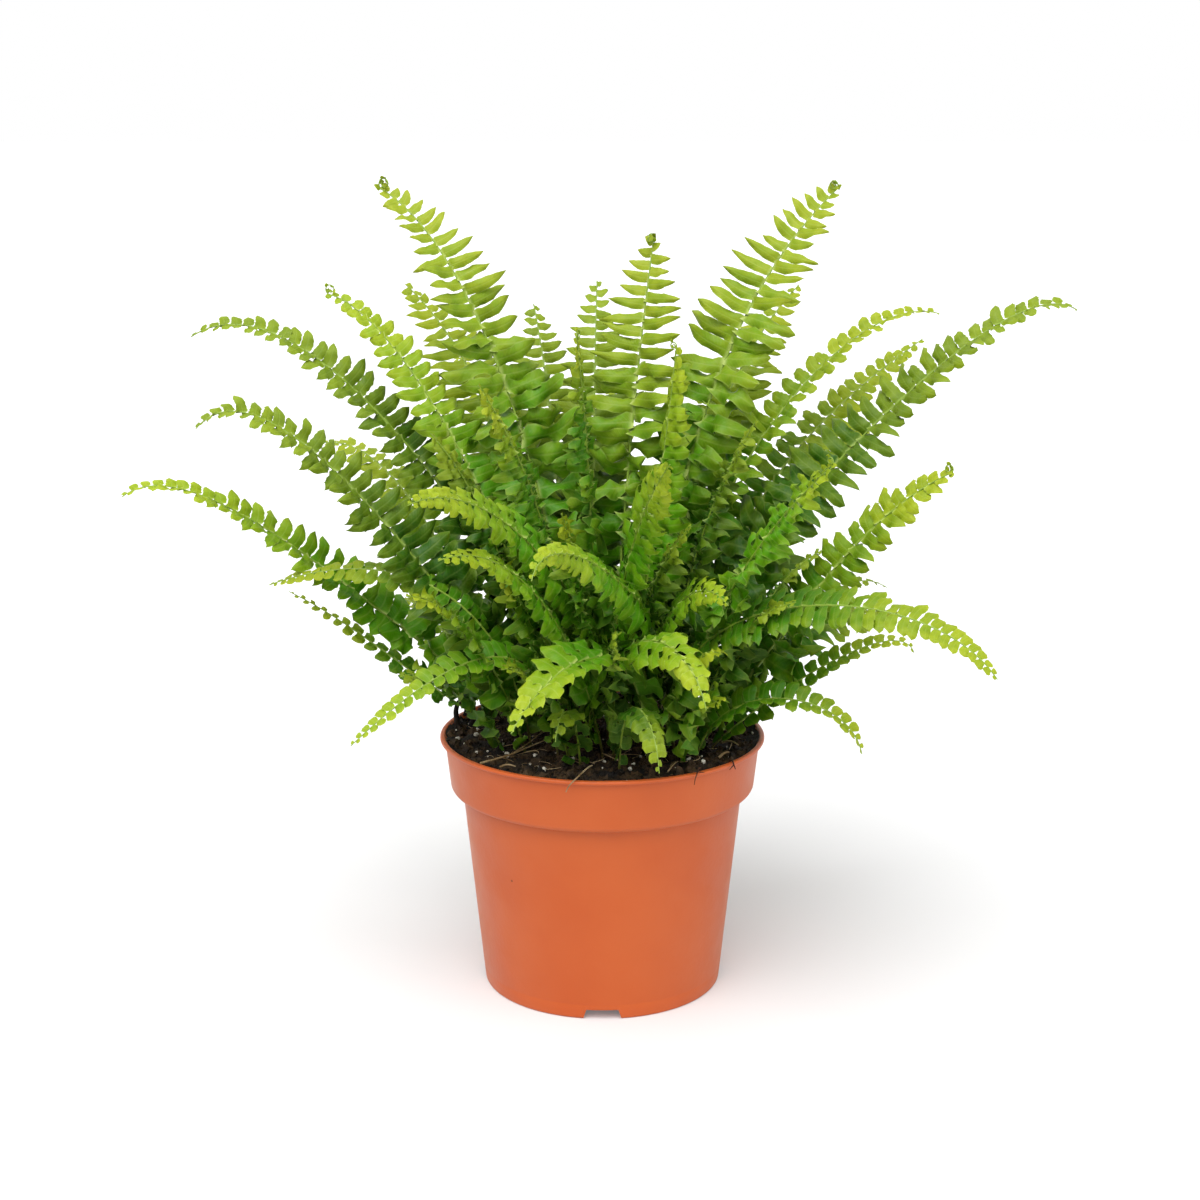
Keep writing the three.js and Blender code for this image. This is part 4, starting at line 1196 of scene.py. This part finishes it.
def store(tree, geometry, name, value, domain):
    """Keep a value on the geometry under a name that a material can read."""
    kept = {"Geometry": geometry, "Name": name, "Value": value}
    return result(tree, "GeometryNodeStoreNamedAttribute", kept, data_type="FLOAT", domain=domain)


def joined(tree, *parts):
    """Join pieces of geometry."""
    join = add_node(tree, "GeometryNodeJoinGeometry")
    for part in parts:
        feed(tree, join.inputs[0], part)
    return Figure(tree, join.outputs[0])


# %% Rows of leaflets
def leaflet_places(tree, given, rib, first):
    """How far along the rib each leaflet of a row stands, in steps and in length, and the places."""
    step = (result(tree, "GeometryNodeInputIndex") + first) / given["Pairs"]
    share = step * (1 + CROWDING) - step * step * CROWDING
    at = share * (1 - BARE_SHARE) + BARE_SHARE
    spot = add_node(tree, "GeometryNodeSampleCurve", {"Curves": rib, "Factor": at}, mode="FACTOR").outputs
    return step, share, at, spot


def leaflet_turn(tree, given, hand, share, at, tangent, jitter):
    """How each leaflet of a row is turned."""
    along = vectors(tree, "NORMALIZE", tangent)
    overlap = vectors(tree, "DOT_PRODUCT", given["Side"], along)
    side = vectors(tree, "SUBTRACT", given["Side"], vectors(tree, "SCALE", along, overlap))
    side = vectors(tree, "NORMALIZE", side)
    above = vectors(tree, "CROSS_PRODUCT", along, side)
    face = lean(tree, above, side, given["Roll"] + at * at * given["Tip roll"])
    outward = vectors(tree, "SCALE", vectors(tree, "CROSS_PRODUCT", face, along), float(hand))
    fold = given["Fold"] + jitter(FOLD_JITTER, 1)
    sweep = share * share * TIP_SWEEP + SWEEP + jitter(SWEEP_JITTER, 2)
    normal = lean(tree, face, outward, fold * -1)
    reach = lean(tree, lean(tree, outward, face, fold), along, sweep)
    steep = vectors(tree, "DOT_PRODUCT", along, UP)
    levelled = steep * steep * LEVELLING * vectors(tree, "DOT_PRODUCT", reach, UP)
    reach = vectors(tree, "SUBTRACT", reach, vectors(tree, "SCALE", UP, levelled))
    turn = result(tree, "FunctionNodeAxesToRotation", {"Primary Axis": reach, "Secondary Axis": normal},
                  primary_axis="X", secondary_axis="Z")
    twist = result(tree, "FunctionNodeAxisAngleToRotation", {
        "Axis": (1, 0, 0), "Angle": jitter(TWIST_JITTER, 3)})
    return result(tree, "FunctionNodeRotateRotation", {"Rotation": turn, "Rotate By": twist},
                  rotation_space="LOCAL")


def leaflet_size(tree, given, rib, step, share, wild, own):
    """How long and how broad each leaflet of a row is."""
    rise = span(tree, share, 0, LONGEST_AT, LOWEST_LEAFLET, 1)
    coil_start = 1 - given["Coil"]
    fall = span(tree, share, coil_start - given["Taper"], coil_start, 1, TIP_LEAFLET, smooth=False)
    length = rise * fall ** TIP_TAPER * given["Longest"]
    length = length * chance(tree, SHORTEST_DRAW, LONGEST_DRAW, own + 4) * (1 - wild * WILD_SHORTER)
    rib_length = result(tree, "GeometryNodeCurveLength", {"Curve": rib})
    pitch = rib_length * (1 - BARE_SHARE) / given["Pairs"] * (1 + CROWDING - step * (2 * CROWDING))
    breadth = pitch * given["Breadth"] * (wild * WILD_BROADER + 1)
    breadth = breadth.at_most(length * BROADEST)
    return result(tree, "ShaderNodeCombineXYZ", {0: length, 1: breadth, 2: length})


def leaflet_row(tree, given, rib, hand, shapes, first):
    """One row of leaflets: hand is 1 for the left of the rib and -1 for the right."""
    own = given["Seed"] + DRAWS_APART * (hand + 2)
    step, share, at, spot = leaflet_places(tree, given, rib, first)
    points = result(tree, "GeometryNodePoints", {"Count": given["Pairs"], "Position": spot["Position"]})
    wild = span(tree, share / given["Crinkled up to"], WILD_UP_TO, TAME_FROM, 1, 0)
    unrest = given["Unrest"] * (wild * WILD_UNREST + 1)

    def jitter(width, number):
        return chance(tree, -width, width, own + number) * unrest

    def crinklier(form, crinkled_form):
        return form + (crinkled_form - form).at_least(0) * wild

    forms = [crinklier(given["First form"], FIRST_CRINKLED), crinklier(given["Last form"], LAST_CRINKLED)]
    row = result(tree, "GeometryNodeInstanceOnPoints", {
        "Points": points, "Instance": shapes_in(tree, shapes), "Pick Instance": True,
        "Instance Index": pick_number(tree, *forms, own + 5),
        "Rotation": leaflet_turn(tree, given, hand, share, at, spot["Tangent"], jitter),
        "Scale": leaflet_size(tree, given, rib, step, share, wild, own)})
    row = store(tree, row, "along", share, "INSTANCE")
    row = store(tree, row, "young_from", given["Young from"], "INSTANCE")
    return store(tree, row, "tone", chance(tree, 0.0, 1.0, own + 6), "INSTANCE")


# %% Blades and rib
rib = result(frond, "GeometryNodeMeshToCurve", {0: given["Rib"]})
blades = joined(frond, leaflet_row(frond, given, rib, 1, given["Left leaflets"], LEFT_FIRST),
                leaflet_row(frond, given, rib, -1, given["Right leaflets"], RIGHT_FIRST))
blades = result(frond, "GeometryNodeRealizeInstances", {"Geometry": blades})
blades = finish_with(frond, blades, given["Blade"])

share = result(frond, "GeometryNodeSplineParameter", output="Factor")
ring = {"Resolution": RIB_SIDES, "Radius": 1.0}
ring = result(frond, "GeometryNodeCurvePrimitiveCircle", ring, mode="RADIUS")
tube = result(frond, "GeometryNodeCurveToMesh", {
    "Curve": store(frond, rib, "along", share, "POINT"), "Profile Curve": ring, "Fill Caps": True,
    "Scale": span(frond, share, 0, 1, 1, TIP_RIB, smooth=False) * given["Rib radius"]})
tube = result(frond, "GeometryNodeSetShadeSmooth", {"Geometry": tube, "Shade Smooth": True})
tube = finish_with(frond, tube, given["Stalk"])
feed(frond, gives["Geometry"], joined(frond, tube, blades))
print("frond tree:", len(frond.nodes), "nodes")

# %% [markdown]
# ## Leaf and stalk finishes
# A fern leaf is green all through, but no two leaflets match. The outer part of a frond is
# younger and yellower, from a point that differs with how a frond stands. The foot of each
# leaflet and its midrib are pale, fine side veins stand up a little, and the underside is
# duller. The edge of each leaflet is lightened as a painted highlight. The young leaves come in
# two copies: a yellower one for the tall fronds, standing for leaves in the light, and a greener
# one for the other young fronds, standing for leaves in shade, which is painted light and shade.
# Light also comes through a leaf, which makes a thin leaf glow beside a thick one. A Translucent
# shader mixed into the glossy one gives that glow at little cost, where true scattering inside
# so thin a blade would be slow and look the same.

# %% Leaf shader group
YELLOWING = 0.86  # how young the very tip of a frond looks
FULLY_YOUNG = 0.95  # share of the frond where it is reached
TONE_RANGE, PATCH_RANGE, OWN_TIP = 0.24, 0.09, 0.18
VEINS, VEIN_SLANT = 13, 1.6
# the last of these is a painted highlight along each leaflet's edge
PALE_FOOT, PALE_MIDRIB, PALE_VEIN, PALE_UNDERSIDE, PAINTED_EDGE_HIGHLIGHT = 0.75, 0.12, 0.03, 0.05, 0.24

leafy, given, gives = new_group(
    "Leaf surface", "ShaderNodeTree",
    [("Body", "Color", (0.1, 0.3, 0.02, 1)), ("Young", "Color", (0.3, 0.5, 0.03, 1)),
     ("Vein", "Color", (0.4, 0.6, 0.15, 1))],
    [("Colour", "Color", None), ("Height", "Float", None), ("Roughness", "Float", None)])


def kept(tree, name):
    """A value that the geometry keeps under a name."""
    return result(tree, "ShaderNodeAttribute", output="Fac", attribute_name=name)


mark = add_node(leafy, "ShaderNodeSeparateXYZ", {0: result(leafy, "ShaderNodeUVMap", uv_map="blade")}).outputs
down_blade, across = Figure(leafy, mark["X"]), Figure(leafy, mark["Y"])
underside = across.over(1.0001)  # there the mark across the blade runs from one to two
off_rib = abs((across - underside) * 2 - 1)
midrib = span(leafy, off_rib, 0.03, 0.16, 1, 0)
vein = span(leafy, ((down_blade * VEINS - off_rib * VEIN_SLANT) * (2 * math.pi)).sine(), 0.2, 1.0)

youth = span(leafy, kept(leafy, "along"), kept(leafy, "young_from"), FULLY_YOUNG) * YELLOWING
youth += (kept(leafy, "tone") - 0.5) * TONE_RANGE
youth += use_group(leafy, cloudy, Scale=240.0, Detail=3.0, Low=-PATCH_RANGE, High=PATCH_RANGE)["Tone"]
youth += span(leafy, down_blade, 0.5, 1.0, 0, OWN_TIP)
colour = blend_colours(leafy, youth.at_least(0).at_most(1), given["Body"], given["Young"])
pale = span(leafy, down_blade, 0.0, 0.1, PALE_FOOT, 0).at_least(midrib * PALE_MIDRIB)
pale = pale.at_least(vein * PALE_VEIN).at_least(underside * PALE_UNDERSIDE)
# each leaflet's edge is lightened towards the vein colour, a painted highlight
pale = pale.at_least(span(leafy, off_rib, 0.8, 1.0, 0, PAINTED_EDGE_HIGHLIGHT))
feed(leafy, gives["Colour"], blend_colours(leafy, pale, colour, given["Vein"]))
feed(leafy, gives["Height"], vein * 0.5 - midrib * 0.8)
gloss = use_group(leafy, cloudy, Scale=500.0, Low=0.34, High=0.5)["Tone"]
feed(leafy, gives["Roughness"], gloss + underside * 0.2)
print("leaf group:", len(leafy.nodes), "nodes")

# %% Leaf materials
GLOW_SHARE = 0.2
LEAF_RELIEF = 0.2  # mm


def leaf_material(name, body, young, vein, glow):
    """A leaf finish: a soft gloss over a colour that light shines through."""
    material, tree, shader = new_material(name, Specular_IOR_Level=0.24)
    values = use_group(tree, leafy, Body=rgb(body), Young=rgb(young), Vein=rgb(vein))
    feed(tree, shader.inputs["Base Color"], values["Colour"])
    feed(tree, shader.inputs["Roughness"], values["Roughness"])
    emboss(tree, shader, values["Height"], 0.35, LEAF_RELIEF * MM)
    through = {"Color": blend_colours(tree, 0.5, values["Colour"], rgb(glow))}
    through = result(tree, "ShaderNodeBsdfTranslucent", through)
    mixed = result(tree, "ShaderNodeMixShader", {0: GLOW_SHARE, 1: shader.outputs[0], 2: through})
    feed(tree, tree.nodes["Material Output"].inputs["Surface"], mixed)
    return material


# the tall fronds' young leaves get a yellower copy, standing for leaves in the light, and the other young
# fronds a greener copy, standing for leaves in shade: painted light and shade
BLADES = {
    "tall": leaf_material("lit yellower leaf of tall young fronds", 0x509006, 0xAAB72A, 0xCEDC80, 0x98D216),
    "young": leaf_material("young leaf", 0x549606, 0xB0C226, 0xD4E280, 0x9CD814),
    "grown": leaf_material("grown leaf", 0x447F06, 0xAEBC24, 0xC4D670, 0x84CC10),
    "old": leaf_material("old leaf", 0x305F08, 0x96AC24, 0xB0C868, 0x68B00C),
}

# %% Stalk material
BROWN_UP_TO = 0.22  # share of the rib

stalk_skin, tree, shader = new_material("stalk", Specular_IOR_Level=0.5)
streaks = use_group(tree, cloudy, Scale=300.0, Detail=4.0, Low=-0.12, High=0.12)["Tone"]
brown = (span(tree, kept(tree, "along"), 0.0, BROWN_UP_TO, 1, 0) + streaks).at_least(0).at_most(1)
feed(tree, shader.inputs["Base Color"], blend_colours(tree, brown, rgb(0x88A634), rgb(0x4A3C1C)))
feed(tree, shader.inputs["Roughness"], use_group(tree, cloudy, Scale=400.0, Low=0.3, High=0.45)["Tone"])
print("plant finishes:", [material.name for material in (*BLADES.values(), stalk_skin)])

# %% [markdown]
# ## Growing the fronds
# Each frond is grown on its rib, becomes a plain mesh, and takes the place of its solid. How a
# frond looks depends on where it stands, so each draws its leaflets from the forms of its own
# habit: straight and pointed on the tall ones, blunter and wavy on the arching ones, crinkled
# all over in the thick of the clump, oval on the low ones, and soft lobes that nearly join on
# those in front. One habit for all would be simpler, but the clump would look combed.

# %% Habits
HABITS = {  # forms, breadth against the pitch, pitch, unrest, crinkled up to, length, young from
    "tall": (POINTED, 0.84, 5.9, 1.0, 0.8, 1.06, 0.24),
    "arching": (BLUNT, 0.94, 5.5, 1.2, 0.5, 1.12, 0.32),
    "crinkled": (CRINKLED, 1.0, 4.8, 1.3, 0.7, 1.1, 0.66),
    "lobed": (LOBED, 1.08, 5.4, 1.0, 0.3, 1.0, 0.5),
    "oval": (OVAL, 1.0, 4.6, 0.8, 0.2, 1.05, 0.4),
    "broad": (LOBED, 1.12, 6.6, 1.1, 0.2, 1.0, 0.46),
}
FRONDS_OF = {  # all others are arching
    "tall": ["tall_left", "middle_tall", "middle_behind", "middle_left_behind", "tall_right",
             "tall_right_behind", "left_behind"],
    "crinkled": ["centre_left", "centre_coiled", "right_front", "inner_front_left", "inner_front",
                 "inner_front_right", "inner_right", "inner_left", "inner_left_low", "right_inner",
                 "inner_centre_left", "inner_centre_right", "inner_middle", "inner_middle_right",
                 "inner_low_left", "inner_low_right"],
    "lobed": ["front_left_arch", "front_middle_arch", "front_left_small", "front_young",
              "front_right_small", "centre_right", "front_hanging"],
    "oval": ["left_low_arch", "right_low_arch", "right_lowest", "right_low_thin", "left_low_edge"],
    "broad": ["front_low_broad", "front_low_dark", "front_right_bright"],
}
habit_of = {name: habit for habit, names in FRONDS_OF.items() for name in names}
for habit in HABITS:
    print(habit, sum(habit_of.get(row[0], "arching") == habit for row in FRONDS))

# %% Growing
FEWEST_PAIRS = 7
FIRST_SEED, SEED_STEP = 200, 20
THINNEST_RIB, RIB_GROWTH = 0.35, 90  # mm, and the mm of leaflet that thicken a rib by one
LEAST_COIL = 0.1  # mm, for a tip that is straight


def grow(row, seed):
    """The finished piece of one frond."""
    name, _, _, _, _, roll, tip_roll, fold, longest, taper, age, _ = row
    points, side = rib_points(row)
    mesh = bpy.data.meshes.new("rib")
    mesh.from_pydata([tuple(p * MM) for p in points], [(k, k + 1) for k in range(len(points) - 1)], [])
    maker = bpy.data.objects.new("rib", mesh)
    scene.collection.objects.link(maker)
    length = sum((b - a).length for a, b in zip(points, points[1:]))
    habit = habit_of.get(name, "arching")
    forms, breadth, pitch, unrest, crinkled_up_to, full, young_from = HABITS[habit]
    # tall young fronds take the lit copy of the young leaf, the other young fronds the shaded one
    blade = BLADES["tall" if (habit, age) == ("tall", "young") else age]
    pairs = max(FEWEST_PAIRS, round(length * (1 - BARE_SHARE) / pitch))
    first = FORMS.index(forms[0])
    run_tree(maker, frond, Side=side, Roll=math.radians(roll), Tip_roll=math.radians(tip_roll),
             Fold=math.radians(fold), Pairs=pairs, Longest=longest * full * MM, Taper=taper,
             Coil=COIL_LENGTH * COIL_RADIUS.get(name, LEAST_COIL) / length, Breadth=breadth,
             First_form=first, Last_form=first + len(forms) - 1, Unrest=unrest,
             Crinkled_up_to=crinkled_up_to, Young_from=young_from,
             Rib_radius=(THINNEST_RIB + longest / RIB_GROWTH) * MM, Seed=seed, Stalk=stalk_skin,
             Left_leaflets=left_leaflets, Right_leaflets=right_leaflets, Blade=blade)
    piece = plain_mesh(maker, f"leafy_{name}")
    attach(piece, "root")
    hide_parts(f"frond_{name}")
    return piece


fronds = [grow(row, FIRST_SEED + SEED_STEP * k) for k, row in enumerate(FRONDS)]
for collection in (crumbs, grains, fibres, left_leaflets, right_leaflets):
    for shape in list(collection.objects):
        bpy.data.objects.remove(shape)
    bpy.data.collections.remove(collection)
faces = [len(piece.data.polygons) for piece in fronds]
print("frond faces:", sum(faces), "most in one:", max(faces))

# %% [markdown]
# ## Sizes
# The box of the solids and that of the finished plant are both printed. The finished
# plant must fill the same box as its solids.

# %% Sizes and finish
full_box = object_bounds()
boxes = {"solids": [list(corner) for corner in solid_box], "finished": [list(corner) for corner in full_box]}
for name, corners in boxes.items():
    print(name, [[round(value / MM, 1) for value in corner] for corner in corners])
